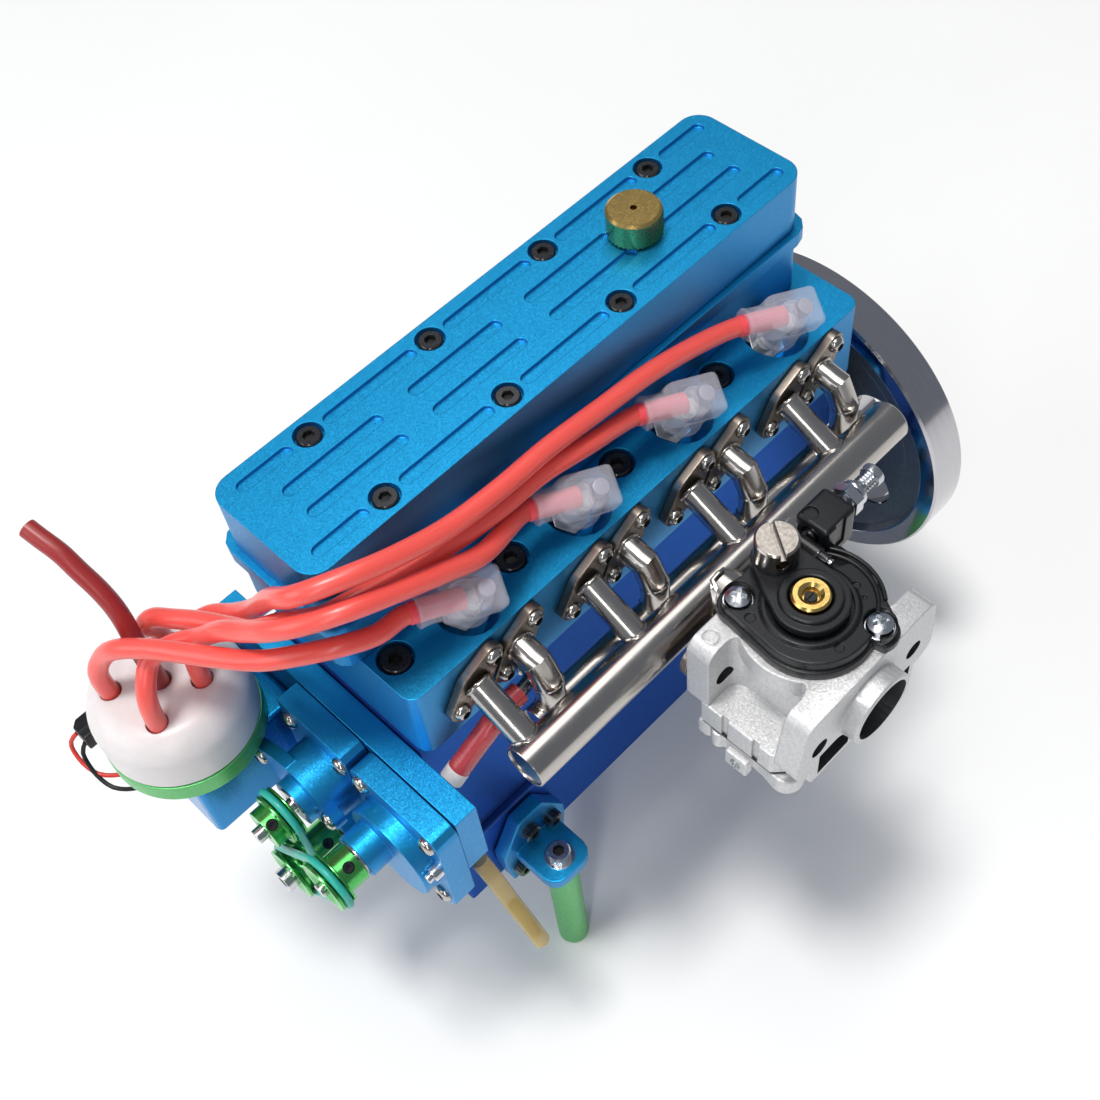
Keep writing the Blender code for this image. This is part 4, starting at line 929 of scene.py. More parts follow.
def timing_case():
    """The timing case and pump housing, with their screws, bearing races and bleed fitting."""
    softened("timing_back_plate", "timing_plate", 0.5, BLUE)
    softened("timing_cover", "timing_front", 0.35, BLUE)
    softened("pump_housing", "pump_cover", 0.35, BLUE)
    proud = FRONT - 0.02
    spots = [(proud, y, z) for y, z in ((3.2, 112), (-14.2, 112.5), (3.2, 66), (-14.2, 66))]
    spots += [(proud, y, z) for y, z in ((-21.4, 113.6), (-42.6, 114), (-42.6, 88), (-21.4, 88))]
    spots += [(proud - 8.5, y, IDLER[1]) for y in (IDLER[0] - 9, IDLER[0] + 15)]
    screws("timing_screws", button_screw(2.3, 1.5, 1.1), spots, (-1, 0, 0), SCREW_STEEL)
    rings = []
    for (y, z), x in ((IDLER, FRONT - 11.3), (PUMP, FRONT - 10.1), (CRANK, FRONT - 5.0)):
        inner = 2.2 if (y, z) != CRANK else 4.8
        outer = inner + 2.2
        profile = [(outer, x - 0.35), (inner, x - 0.35), (inner, x + 2), (outer, x + 2)]
        rings.append(hoop(profile, "X", (y, z), 40))
    shown(together(*rings), "bearing_races", "engine", STEEL)
    bleed = (-44.2, 104.5)
    base, tip = (FRONT - 2.2, FRONT + 0.5), (FRONT - 3.6, FRONT - 2)
    fitting = together(rod("X", bleed, base, 1.9, 24), rod("X", bleed, tip, 1.2, 20))
    shown(fitting, "pump_bleed_fitting", "engine", ZINC)


def wheel(body, centre, disc, hub, radius, hub_radius, grooves, shaft):
    """A grooved pulley with its hub before or behind it, black set screw and steel shaft end."""
    low, high = disc
    rim = [(radius - 1.3, high), (radius, high)]
    for groove in sorted(grooves, reverse=True):
        rim += [(radius, groove + 1.25), (radius - 1.5, groove + 0.75), (radius - 1.65, groove)]
        rim += [(radius - 1.5, groove - 0.75), (radius, groove - 1.25)]
    rim += [(radius, low), (radius - 1.3, low)]
    front = hub[0] < low
    if front:
        profile = [(0, high), *rim, (hub_radius + 0.6, low + 0.4), (hub_radius, low), (hub_radius, hub[0])]
        profile += [(2.4, hub[0]), (2.4, hub[0] + 0.6), (0, hub[0] + 0.6)]
    else:
        profile = [(0, hub[1]), (hub_radius, hub[1]), (hub_radius, high), (hub_radius + 0.6, high - 0.4)]
        profile += [*rim, (3.6, low + 0.7), (2.4, low + 0.7), (2.4, low + 1.2), (0, low + 1.2)]
    made = lathe(profile, "X", centre, 72, 0.16)
    middle = (hub[0] + min(low, hub[1])) / 2 if front else (hub[1] + max(high, hub[0])) / 2
    out = Vector((0, math.cos(GRUB_TURN), math.sin(GRUB_TURN)))
    spot = Vector((middle, *centre)) + out * hub_radius
    hole = moved(rod("Z", (0, 0), (-2.2, 1), 1.35, 24, 0), facing(spot, out))
    grub = lathe([(0, -0.5), (1.2, -0.5), (1.3, -0.8), (1.3, -2), (0, -2)], sides=24)
    grub = moved(cut(grub, prism(hexagon(0.75), (-1.6, 1))), facing(spot, out))
    made = painted(cut(made, hole), 0)
    whole = together(made, painted(grub, 1), painted(rod("X", centre, shaft, 1.8, 32, 0.25), 2))
    finishes = [GREEN, BLACK_SCREW, STEEL]
    shown(whole, f"{body}_wheel", body, finishes, [f"{body}_pulley"], 28.0)


def pulleys():
    """Three pulleys and the two belts from the crank's."""
    wheel(
        "idler", IDLER, (BELT_INNER - 2, BELT_INNER + 1.8), (BELT_INNER - 5.2, BELT_INNER - 1.5),
        PULLEY_R, 5.0, [BELT_INNER], (BELT_INNER - 7.5, FRONT - 0.5),
    )
    wheel(
        "pump", PUMP, (BELT_OUTER - 2, BELT_OUTER + 1.8), (BELT_OUTER + 1.5, FRONT - 10.8),
        PULLEY_R, 5.0, [BELT_OUTER], (BELT_OUTER - 3, FRONT - 2),
    )
    wheel(
        "crank", CRANK, (BELT_OUTER - 2, BELT_INNER + 1.8), (BELT_INNER + 1.5, FRONT - 5.5),
        CRANK_PULLEY_R, 5.6, [BELT_INNER, BELT_OUTER], (BELT_OUTER - 4.5, FRONT),
    )
    for name, x, first in (("idler_belt", BELT_INNER, IDLER), ("pump_belt", BELT_OUTER, PUMP)):
        small, large = PULLEY_R - 0.2, CRANK_PULLEY_R - 0.2
        start, end = Vector(first), Vector(CRANK)
        along = (end - start).normalized()
        lean = math.degrees(math.asin((small - large) / (end - start).length))
        heading = math.degrees(math.atan2(along.y, along.x))
        loop = arc(first, small, heading + 90 - lean, heading + 270 + lean, 24)
        loop += arc(CRANK, large, heading - 90 + lean, heading + 90 - lean, 24)
        points = [at(x, y, z) for y, z in loop]
        piece = curve_bar(name + "_ring", points, BELT_D, BELT, 4, closed=True)
        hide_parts(name)


# --- distributor ------------------------------------------------------------------------------------------


def distributor():
    """The housing, clamp ring and milky dome with its five towers, and the sensor's plug and wires."""
    softened("distributor_housing", "distributor_block", 0.4, BLUE_SMOOTH)
    ring = lathe([(0, RING_TOP), (18.5, RING_TOP), (18.5, 106.3), (0, 106.3)], "Z", DIST, 128, 0.5)
    shown(ring, "distributor_clamp_ring", "engine", GREEN_SATIN, ["distributor_ring"])
    turns = [math.pi / 20 * i for i in range(11)]
    curve = [(CAP_R - 7 + 7 * math.sin(a), CAP_TOP - 7 + 7 * math.cos(a)) for a in turns]
    profile = [(0, CAP_TOP), *curve, (CAP_R, CAP_BASE + 0.4), (CAP_R - 0.4, CAP_BASE), (0, CAP_BASE)]
    cap = lathe(profile, "Z", DIST, 128)
    holes = [rod("Z", tower, (TOWER_FLOOR - 0.4, CAP_TOP + 1), LEAD_D / 2 + 0.35, 32, 0) for tower in TOWERS]
    cap = cut(cap, *holes)
    shown(soften(cap, 0.3, 2, 40), "distributor_dome", "engine", DOME, ["distributor_cap"])

    outline = [(-65.6, 39.4), (-59.5, 39.4), (-59.5, 45.4), (-64.0, 45.4), (-65.6, 44)]
    plug = prism(outline, (99.5, 105), "Z", 0.5)
    arm = brick((-60.5, -54), (36.8, 41), (99.7, 104), 0.4)
    lip = brick((-65.2, -60.2), (41.6, 42.3), (99.3, 105.2), 0.1)
    shown(together(plug, arm, lip), "sensor_connector", "engine", BLACK, ["sensor_plug"])
    wires = {
        "sensor_wire_red": [
            (-65.5, 44.0, 102.0), (-67.4, 44.8, 100.0), (-68.4, 44.2, 97.6), (-68.7, 40.8, 95.0),
            (-67.6, 36.5, 93.8), (-64.1, 32.6, 93.8), (-60.0, 29.8, 95.0), (-55.6, 27.8, 97.5),
        ],
        "sensor_wire_black": [
            (-65.5, 41.2, 101.0), (-67.2, 41.2, 98.6), (-68.0, 39.6, 95.8), (-68.2, 36.0, 93.6),
            (-67.2, 32.0, 92.3), (-64.1, 28.2, 92.4), (-60.0, 25.4, 94.0), (-55.4, 23.6, 97.2),
        ],
    }
    for name, route in wires.items():
        colour = RED_WIRE if name.endswith("red") else BLACK
        piece, points, length = cord_bar(name, route, SENSOR_WIRE_D, colour)


# --- manifolds and hoses ----------------------------------------------------------------------------------

HEAD_SIDE = -31.2
PORT_Z = 136.0
INTAKE_LOG, INTAKE_LOG_R, INTAKE_R = (-50.5, 127.0), 5.2, 3.2
EXHAUST_LOG, EXHAUST_LOG_R, EXHAUST_R = (-41.3, 118.0), 4.3, 3.35
FLANGE_PITCH = 14
CARB_X, CARB_Z, LUG_REACH = 51.0, 127.0, 15.5
INTAKE_PORTS = [x - 3.7 for x in STATIONS]
EXHAUST_PORTS = [x + 8.7 for x in STATIONS]


def finely(points, step=1.1):
    """The corners of a route with more points along its straight stretches."""
    points = [Vector(p) for p in points]
    made = [points[0]]
    for a, b in zip(points, points[1:]):
        count = max(1, round((b - a).length / step))
        made += [a.lerp(b, i / count) for i in range(1, count + 1)]
    return made


def tube_x(centre, span, radius, sides=64):
    """A round tube along X with a seam just inside each end, and rings close enough to take a tint."""
    low, high = span
    count = round((high - low) / 1.3)
    profile = [(0, high - 0.35), (radius - 0.55, high - 0.35), (radius - 0.45, high), (radius - 0.15, high)]
    profile += [(radius, high - 0.2 - (high - low - 0.4) * i / count) for i in range(count + 1)]
    profile += [(radius - 0.15, low), (radius - 0.45, low), (radius - 0.55, low + 0.35), (0, low + 0.35)]
    return lathe(profile, "X", centre, sides)


def circle(centre, direction, radius, steps=40):
    """Points round a circle, the first one again at the end."""
    direction = Vector(direction).normalized()
    across = direction.orthogonal().normalized()
    other = direction.cross(across)
    turns = [2 * math.pi * k / steps for k in range(steps + 1)]
    return [Vector(centre) + (across * math.cos(a) + other * math.sin(a)) * radius for a in turns]


def seam(start, direction, radius, centre, log_radius):
    """The ring where a round branch meets a tube that runs along X."""
    direction = Vector(direction).normalized()
    flat = Vector((0, direction.y, direction.z))
    ring = []
    for spot in circle(start, direction, radius):
        away = Vector((0, spot.y - centre[0], spot.z - centre[1]))
        a, b, c = flat.dot(flat), 2 * away.dot(flat), away.dot(away) - log_radius**2
        root = max(0.0, b * b - 4 * a * c)
        ring.append(spot + direction * (-b - math.sqrt(root)) / (2 * a))
    return ring


def bead(ring, radius):
    """A weld bead with a rippled back."""
    count = len(ring)
    return sweep(ring, radius, 10, 0.0, lambda t: 1 + 0.16 * math.sin(t * (count - 1) * 2.2))


WELD_HEAT = 0.6


def heated(shape, seats, reach):
    """Write how much heat each point took: most at the seats, each a point and its own radius."""
    layer = shape.verts.layers.float.new("heat")
    for v in shape.verts:
        heat = 0.0
        for spot, radius in seats:
            away = max(0.0, (v.co - Vector(spot)).length - radius)
            heat = max(heat, WELD_HEAT * math.exp(-((away / reach) ** 1.3)))
        v[layer] = heat
    return shape


def flanges(name, ports, angle, *more):
    """A manifold's two-bolt plates on the head's side, with their gaskets and screws."""

    def plates(boss, ear, span, edge):
        outlines = [ears((x, PORT_Z), FLANGE_PITCH, angle, boss, ear, 8) for x in ports]
        return [prism(outline, (HEAD_SIDE + span[0], HEAD_SIDE + span[1]), "Y", edge) for outline in outlines]

    shown(together(*plates(4.9, 2.9, (-2.3, -0.3), 0.25), *more), name + "_flanges", "engine", FLANGE_STEEL)
    shown(together(*plates(4.7, 2.7, (-0.32, -0.05), 0.0)), name + "_gaskets", "engine", RUBBER)
    turn, reach = math.radians(angle), FLANGE_PITCH / 2
    spots = [
        (x + side * reach * math.cos(turn), HEAD_SIDE - 2.28, PORT_Z + side * reach * math.sin(turn))
        for x in ports for side in (-1, 1)
    ]
    screws(name + "_screws", button_screw(2.1, 1.7, 1.05), spots, (0, -1, 0), SCREW_STEEL)


def intake():
    """Four runners into a log, and the carburettor's branch off it."""
    shapes, seats = [tube_x(INTAKE_LOG, (-8.2, 113.0), INTAKE_LOG_R)], []
    for x in INTAKE_PORTS:
        start, end = Vector((x, HEAD_SIDE - 2.0, PORT_Z)), Vector((x, INTAKE_LOG[0], INTAKE_LOG[1] + 0.5))
        along = end - start
        shapes.append(sweep(finely([start, end - along.normalized() * 2.5]), INTAKE_R, 40))
        ring = seam(start, along, INTAKE_R, INTAKE_LOG, INTAKE_LOG_R)
        shapes.append(bead(ring, 0.42))
        shapes.append(bead(circle(start + along.normalized() * 0.5, along, INTAKE_R), 0.4))
        seats += [(sum(ring, Vector()) / len(ring), 3.6), (start, 2.6)]
    branch, face = Vector((CARB_X, INTAKE_LOG[0] - 2.0, CARB_Z)), Vector((CARB_X, -58.4, CARB_Z))
    shapes.append(sweep(finely([branch, face]), 6.2, 64))
    ring = seam((CARB_X, -60, CARB_Z), (0, 1, 0), 5.6, INTAKE_LOG, INTAKE_LOG_R)
    shapes.append(bead([p + Vector((0, -0.9, 0)) for p in ring], 0.7))
    seats += [((CARB_X - 5.5, -54.0, CARB_Z), 1.6), ((CARB_X + 5.5, -54.0, CARB_Z), 1.6)]
    seats += [((CARB_X, -54.5, CARB_Z + 5.5), 2.2), (face, 6.0)]
    pipes = heated(together(*shapes), seats, 2.0)
    shown(pipes, "intake_pipes", "engine", STAINLESS, ["intake_manifold"])
    seat = prism(ears((CARB_X, CARB_Z), 2 * LUG_REACH, 0, 8.5, 5.0, 8), (-60.2, -58.2), "Y", 0.25)
    flanges("intake", INTAKE_PORTS, 41, seat)


def exhaust():
    """Four bent runners down into a log, whose outlet is a dark disc of painted shade on its closed end."""
    shapes, seats = [tube_x(EXHAUST_LOG, (3.5, 114.0), EXHAUST_LOG_R)], []
    bends = [(-32.8, 136), (-38.4, 135.0), (-41.1, 129.8), (-41.3, 121.5)]
    for x in EXHAUST_PORTS:
        corners = [Vector((x, y, z)) for y, z in bends]
        shapes.append(sweep(finely(corners, 0.9), EXHAUST_R, 40))
        for before, here, after in zip(corners, corners[1:], corners[2:]):
            along = (here - before).normalized() + (after - here).normalized()
            shapes.append(bead(circle(here, along, EXHAUST_R - 0.01), 0.16))
            seats.append((here, 2.6))
        shapes.append(bead(circle(corners[0] + Vector((0, -0.9, 0)), (0, 1, 0), EXHAUST_R), 0.4))
        ring = seam(corners[-2], (0, 0, -1), EXHAUST_R, EXHAUST_LOG, EXHAUST_LOG_R)
        shapes.append(bead(ring, 0.42))
        seats += [(corners[0], 3.2), (sum(ring, Vector()) / len(ring), 3.2)]
    pipes = heated(together(*shapes), seats, 4.0)
    shown(pipes, "exhaust_pipes", "engine", STAINLESS, ["exhaust_manifold"])
    # a thin near-black disc on the log's end: painted shade standing for the open outlet's bore
    shown(rod("X", EXHAUST_LOG, (113.6, 113.72), 3.3, 40, 0), "exhaust_outlet_shade_disc", "engine", PAINTED_SHADE_BLACK)
    flanges("exhaust", EXHAUST_PORTS, 46)


def hoses():
    """The coolant hose with its sleeve and end fittings, and the breather tube with a little oil in it."""
    coolant = [(-16.5, -34.3, 112), (-12, -35, 116), (-6, -36, 121.5), (-1, -36, 124), (4.5, -36, 124.5)]
    route = smooth_route([Vector(p) for p in coolant], 0.8)
    shown(sweep(route[3:], 2.6, 36), "coolant_hose_skin", "engine", HOSE, ["coolant_hose"])
    shown(sweep(route[:5], 2.72, 36), "coolant_hose_sleeve", "engine", WHITE_HOSE)
    away = (route[0] - route[1]).normalized()
    nipple = rod("Z", (0, 0), (-0.4, 2.4), 2.0, 28, 0.3)
    shown(moved(nipple, facing(route[0], away)), "coolant_nipple", "engine", BLACK)

    spigot = [(4.4, -36, 124.5), (7.2, -35.6, 124.5), (9.2, -34.2, 124.5), (9.9, -31.2, 124.5)]
    spigot = together(sweep(spigot, 1.6, 28, 0.7), rod("Y", (9.9, 124.5), (-32.6, -31.0), 2.5, 28, 0.3))
    shown(spigot, "coolant_spigot", "engine", ZINC)

    breather = [
        (-20.8, -43.5, 89.5), (-20.3, -46.5, 84), (-19.6, -50, 75), (-18.8, -53.5, 66), (-18, -56.5, 57),
    ]
    route = smooth_route([Vector(p) for p in breather], 0.9)
    along = (route[-1] - route[-2]).normalized()
    tube = sweep(route, 2.1, 36)
    bore = moved(rod("Z", (0, 0), (-3, 1), 1.45, 28, 0), facing(route[-1], along))
    shown(cut(tube, bore), "breather_skin", "engine", AMBER, ["breather_tube"])
    shown(sweep(route[len(route) // 2 : -5], 1.5, 24), "breather_inside", "engine", OIL)


# --- plugs and boots --------------------------------------------------------------------------------------


def boot():
    """A milky boot in its plug's own frame: a skirt over the plug, a square head and a ribbed sleeve."""
    tip = brick((-6.8, 5.0), (-4.6, 4.6), (8.8, 15.5), 1.3, 3)
    outline = [(-6.6, -4.4), (-4, -4.5), (-4, 4.5), (-6.6, 4.4), (-8.5, 3.5), (-8.5, -3.5)]
    taper = prism(outline, (9.0, 15.2), "Z", 0.8)
    profile = [(0, 0.3), (3.7, 0.3), (3.8, -0.2), (3.45, -1.6), (3.5, -8.4), (0, -8.4)]
    across = Matrix.Translation((-13.2, 0, BOOT_LEVEL)) @ Matrix.Rotation(math.pi * 1.5, 4, "Y")
    sleeve = moved(lathe(profile, sides=10, ease=0.15), across)
    profile = [(0, 9.2), (4.6, 9.2), (4.6, 2.4), (5.2, 1.9), (5.2, 0.9), (4.7, 0.5), (0, 0.5)]
    whole = unite(tip, taper, sleeve, lathe(profile, ease=0.3))
    wire = rod("X", (0, BOOT_LEVEL), (-16, -1.0), 2.45, 32, 0)
    nut = rod("Z", (0, 0), (-1, 11.2), 3.45, 32, 0)
    return soften(cut(whole, wire, nut), 0.2, 2, 38)


def spark_plug():
    """A plug in its own frame: hexagon, thread, ceramic and electrode."""
    hexagonal = prism(arc((0, 0), 4.9, 0, 300, 5), (-10.7, -4.7), "Z", 0.4)
    thread = [(0, -10.5), (3.0, -10.5)]
    for turn in range(8):
        low = -11.0 - turn * 0.7
        thread += [(2.65, low), (2.95, low - 0.35)]
    thread += [(2.4, -17), (0, -17)]
    ceramic = [(0, 8), (1.6, 8), (1.9, 7.6), (1.9, 5.6), (2.2, 5.4), (2.2, -4.0)]
    ceramic += [(2.6, -4.4), (2.6, -4.8), (0, -4.8)]
    return together(
        painted(hexagonal, 0), painted(lathe(thread, sides=32), 0), painted(lathe(ceramic, sides=32), 1),
        painted(rod("Z", (0, 0), (-18.3, -16.9), 0.7, 16, 0.1), 0),
    )


def plugs_and_boots():
    """The four plugs, and their boots with the end of each lead inside."""
    for i in range(len(STATIONS)):
        number = i + 1
        place = well_place(i, BOOT_TURN)
        name = f"plug_boot_{number}"
        shown(moved(boot(), place), f"{name}_skin", "engine", BOOT, [name])
        crimp = rod("X", (0, BOOT_LEVEL), (-15.0, -3.2), 2.42, 32, 0.3)
        inner = together(painted(crimp, 0), painted(rod("Z", (1.2, 0.2), (11.4, 15.0), 1.9, 28, 0.4), 1))
        shown(moved(inner, place), f"plug_terminal_{number}", "engine", [PINK, RIVET])
        name = f"spark_plug_{number}"
        shown(moved(spark_plug(), well_place(i)), f"{name}_body", "engine", [ZINC, CERAMIC], [name])


# --- carburettor ------------------------------------------------------------------------------------------

BARREL_Y = -75.5
DECK = 140.0
LID_LOW, LID_TOP = 140.3, 146.3
ADJUSTER = (-65.5, 147.8)


def pin_mark(spot, radius=1.9):
    """The shallow ring that an ejector pin leaves, as a cutter for a face that looks up."""
    x, y, z = spot
    inner, low, high = radius - 0.28, z - 0.16, z + 0.5
    return hoop([(radius, high), (radius, low), (inner, low), (inner, high)], "Z", (x, y), 32)


def carburettor_casting():
    """The body: a lugged flange at each end, a deck over the barrel, the venturi and a pocketed floor."""
    lugs = (-66.5, -60.5)
    front = (-92.0, -86.0)
    plan = (
        [(71.5, lugs[1]), (30.5, lugs[1]), (30.5, lugs[0])]
        + arc((36.0, lugs[0] - 3.4), 3.4, 90, 0, 6)
        + arc((36.0, front[1] + 3.4), 3.4, 0, -90, 6)
        + [(28.6, front[1]), (28.6, front[0]), (73.4, front[0]), (73.4, front[1])]
        + arc((66.0, front[1] + 3.4), 3.4, 270, 180, 6)
        + arc((66.0, lugs[0] - 3.4), 3.4, 180, 90, 6)
        + [(71.5, lugs[0])]
    )
    upper = prism(plan, (118.5, DECK))
    above = DECK + 0.4
    profile = [(34.0, above), *arc((34.0, 136.4), 3.6, 108, 180, 4), *arc((33.2, 123.8), 4.8, 180, 270, 6)]
    profile += [*arc((68.8, 123.8), 4.8, 270, 360, 6), *arc((69.0, 136.4), 3.6, 0, 72, 4), (69.0, above)]
    flanks = prism(profile[::-1], (-93, -60), "Y")
    upper = combined(upper, [flanks], "INTERSECT")
    deck = rod("Z", (CARB_X, BARREL_Y), (134, DECK), 14.8, 72, 0.4)
    bridge = brick((41.0, 63.5), (front[0], BARREL_Y), (131, DECK - 1.0), 0.6)
    profile = [(0, -90), (9.3, -90), (8.9, -91), (8.9, -95.7), (8.6, -96), (0, -96)]
    venturi = lathe(profile, "Y", (CARB_X, CARB_Z), 72)
    outline = [(30.2, -64.5), (30.2, -84), (32.6, -86.5), (69.0, -86.5), (71, -84), (71, -64.5)]
    base = prism(outline, (112.4, 120.2), "Z", 0.5)
    plate = prism(rounded((33.6, 68.4), (112.6, 128.5), 1.6, 5)[::-1], (front[0], front[1] + 0.5), "Y", 0.4)
    body = unite(upper, deck, bridge, venturi, base, plate)

    profile = [(0, -50), (6.4, -50), (6.4, -89), (7.7, -96.5), (7.7, -98), (0, -98)]
    throat = lathe(profile, "Y", (CARB_X, CARB_Z), 64)
    tools = [throat, rod("Z", (CARB_X, BARREL_Y), (118, DECK + 1), 7.9, 48, 0)]
    lug_holes = (CARB_X - LUG_REACH, CARB_X + LUG_REACH)
    tools += [rod("Y", (x, CARB_Z), (-98, -55), 2.4, 32, 0) for x in lug_holes]
    pocket = [(36.0, 114.4), (46.2, 114.4), (46.2, 117.0), *arc((41.0, 118.8), 3.6, 10, 90, 6), (36.0, 122.4)]
    tools.append(prism(pocket[::-1], (-93, -83.5), "Y"))
    tools.append(brick((58.5, 66.6), (-93, -85), (114.4, 120.6), 0.5))
    tools.append(brick((48.0, 57.2), (-93, -89.5), (114.4, 116.8), 0.3))
    tools += [pin_mark(p) for p in ((34.8, -63.5, DECK), (41.6, -88.6, DECK - 1), (66.0, -89.0, DECK - 1))]
    tools += [brick((29, 31.0), notch, (111, 121)) for notch in ((-80.5, -78.8), (-72.2, -70.4))]
    body = soften(cut(body, *tools), 0.35, 2, 38)
    # faces inside the throat, the lug holes and the pockets take the second finish, painted shade
    for face in body.faces:
        x, y, z = face.calc_center_median()
        round_y = abs(face.normal.y) < 0.5
        in_throat = round_y and y > -95.3 and math.hypot(x - CARB_X, z - CARB_Z) < 7.6
        in_hole = round_y and any(math.hypot(x - hole, z - CARB_Z) < 2.42 for hole in lug_holes)
        in_pocket = 114.2 < z < 122.6 and -91.4 < y < -83.4 and (35.8 < x < 46.4 or 58.3 < x < 66.8)
        face.material_index = 1 if in_throat or in_hole or in_pocket else 0
    finishes = [CAST, CAST_IN_PAINTED_SHADE]
    shown(body, "carburettor_casting", "engine", finishes, ["carburettor_body"], 40.0)


def carburettor_bottom():
    """The gasket, the diaphragm's cover with its ear and screws, and the bush in the ear."""
    gap_line = prism(
        [(30.6, -65), (30.6, -84), (32.8, -86.2), (68.7, -86.2), (70.5, -84), (70.5, -65)], (111.5, 112.5)
    )
    shown(gap_line, "carburettor_gasket", "engine", RUBBER)
    outline = [(30.3, -63.6), (30.3, -66.0), *arc((31.5, -69.0), 1.9, 110, 250, 5), (31.2, -79.0)]
    outline += [(31.0, -82.0), *arc((34.2, -85.6), 3.9, 175, 300, 7), (45, -89.9), (57, -89.9)]
    outline += [*arc((66.6, -85.8), 3.8, 250, 370, 7), (70.4, -63.6)]
    lower = prism(outline, (106.0, 111.5), "Z", 0.5)
    outline = [(34, -66), (34, -82), (38, -87.5), (64, -87.5), (68, -82), (68, -66)]
    step = prism(outline, (103.0, 107), "Z", 0.8)
    ear = brick((29.3, 31.6), (-78.3, -72.3), (103.6, 109.2), 0.4)
    cover = unite(lower, step, ear)
    tools = [rod("X", (-75.3, 106.2), (28, 33), 1.3, 24, 0), rod("Z", (33.4, -69.2), (108, 113), 1.4, 24, 0)]
    cover = soften(cut(cover, *tools), 0.3, 2, 38)
    shown(cover, "diaphragm_casting", "engine", CAST, ["diaphragm_cover"], 40.0)
    spots = [(x, y, 106.0) for x in (34.6, 66.6) for y in (-68.8, -85.4)]
    screws("diaphragm_screws", cross_screw(2.3, 1.6), spots, (0, 0, -1), ZINC)
    bushing = lathe([(0, 0.1), (0.55, 0.1), (0.6, 0.4), (1.25, 0.4), (1.25, -0.8), (0, -0.8)], sides=24)
    shown(moved(bushing, facing((29.4, -75.3, 106.2), (-1, 0, 0))), "diaphragm_bush", "engine", ZINC)


def carburettor_lid():
    """The black cover with its curbs, the cable's block, two cross-head screws and the idle stop screw."""
    middle = (CARB_X - 0.2, BARREL_Y - 1.2)
    left, right = (43.3, -63.2), (57.2, -88.4)
    outline = [(left[0] + 4, left[1] + 3.6), *arc(left, 4.4, 80, 190, 8), *arc(middle, 13.2, 175, 285, 16)]
    outline += [*arc(right, 4.3, 235, 350, 8), (64.8, -83.0), (67.0, -78.0), (67.4, -71.0)]
    outline += [(64.0, -60.5), (56, -58.8)]
    plate = prism(outline, (LID_LOW, 142.6), "Z", 0.35)
    raised = [(p[0] + (middle[0] - p[0]) * 0.045, p[1] + (middle[1] - p[1]) * 0.045) for p in outline]
    upper = prism(raised, (142.3, 145.6), "Z", 0.5)
    hub = (CARB_X, BARREL_Y)
    ring = lathe([(0, LID_TOP), (9.8, LID_TOP), (10.4, 145.7), (10.4, 143), (0, 143)], "Z", hub, 72, 0.2)
    lid = unite(plate, upper, ring)
    well = lathe([(0, 150), (8.9, 150), (8.9, 145.2), (0, 145.2)], "Z", hub, 64)
    tools = [well, rod("Z", hub, (138, 148), 4.6, 48, 0)]
    tools += [rod("Z", spot, (143.4, 148), 3.5, 36, 0) for spot in (left, right)]
    for x, y, radius in ((47.2, -86.0, 1.0), (61.0, -79.4, 0.9), (59.8, -82.4, 0.45), (40.9, -68.4, 1.1)):
        tools.append(rod("Z", (x, y), (145.2, 148), radius, 24, 0))
    tools.append(prism([(61.5, -73.5), (65.2, -75.5), (65.5, -69.5), (62.8, -66.5)], (144.2, 148)))
    lid = cut(lid, *tools)
    curb = []
    for radius, span in ((11.6, (-62, 32)), (13.0, (-48, 30))):
        points = [Vector((x, y, 145.7)) for x, y in arc((CARB_X + 2.2, BARREL_Y - 0.8), radius, *span, 16)]
        curb.append(sweep(points, 0.5, 12))
    holder = brick((63.2, 73.0), (-69.6, -61.2), (LID_LOW, 151.3), 1.0, 3)
    neck = brick((58, 66), (-68.5, -62.5), (LID_LOW, 146.0), 0.8)
    notch = brick((66.5, 69.5), (-70.5, -69.2), (143, 152))
    dimple = prism(arc((65.6, -63.4), 1.7, 0, 330, 11), (150.6, 152))
    block = cut(unite(holder, neck), rod("X", ADJUSTER, (60, 75), 2.25, 32, 0), notch, dimple)
    lid = soften(lid, 0.22, 2, 40)
    shown(lid, "carburettor_lid", "engine", BLACK, ["carburettor_cover"], 40.0)
    block = together(soften(block, 0.25, 2, 40), *curb)
    shown(block, "cable_block", "engine", BLACK, (), 40.0)

    screw = together(cross_screw(2.9, 2.0), rod("Z", (0, 0), (-0.5, 0.0), 3.2, 40, 0.1))
    places = [facing((*spot, 143.95), (0, 0, 1), turn) for spot, turn in ((left, 0.5), (right, 1.1))]
    shown(copies(screw, places), "lid_screws", "engine", ZINC)
    axis = (60.6, 147.6)
    idle = together(
        painted(rod("Y", axis, (-70.2, -64.6), 1.75, 32, 0.3), 0),
        painted(rod("Y", axis, (-72.4, -70.0), 1.3, 32, 0.25), 0),
        painted(rod("Y", axis, (-73.3, -72.3), 0.9, 24, 0.15), 1),
    )
    shown(idle, "idle_stop_screw", "engine", [BLACK_SCREW, STEEL])


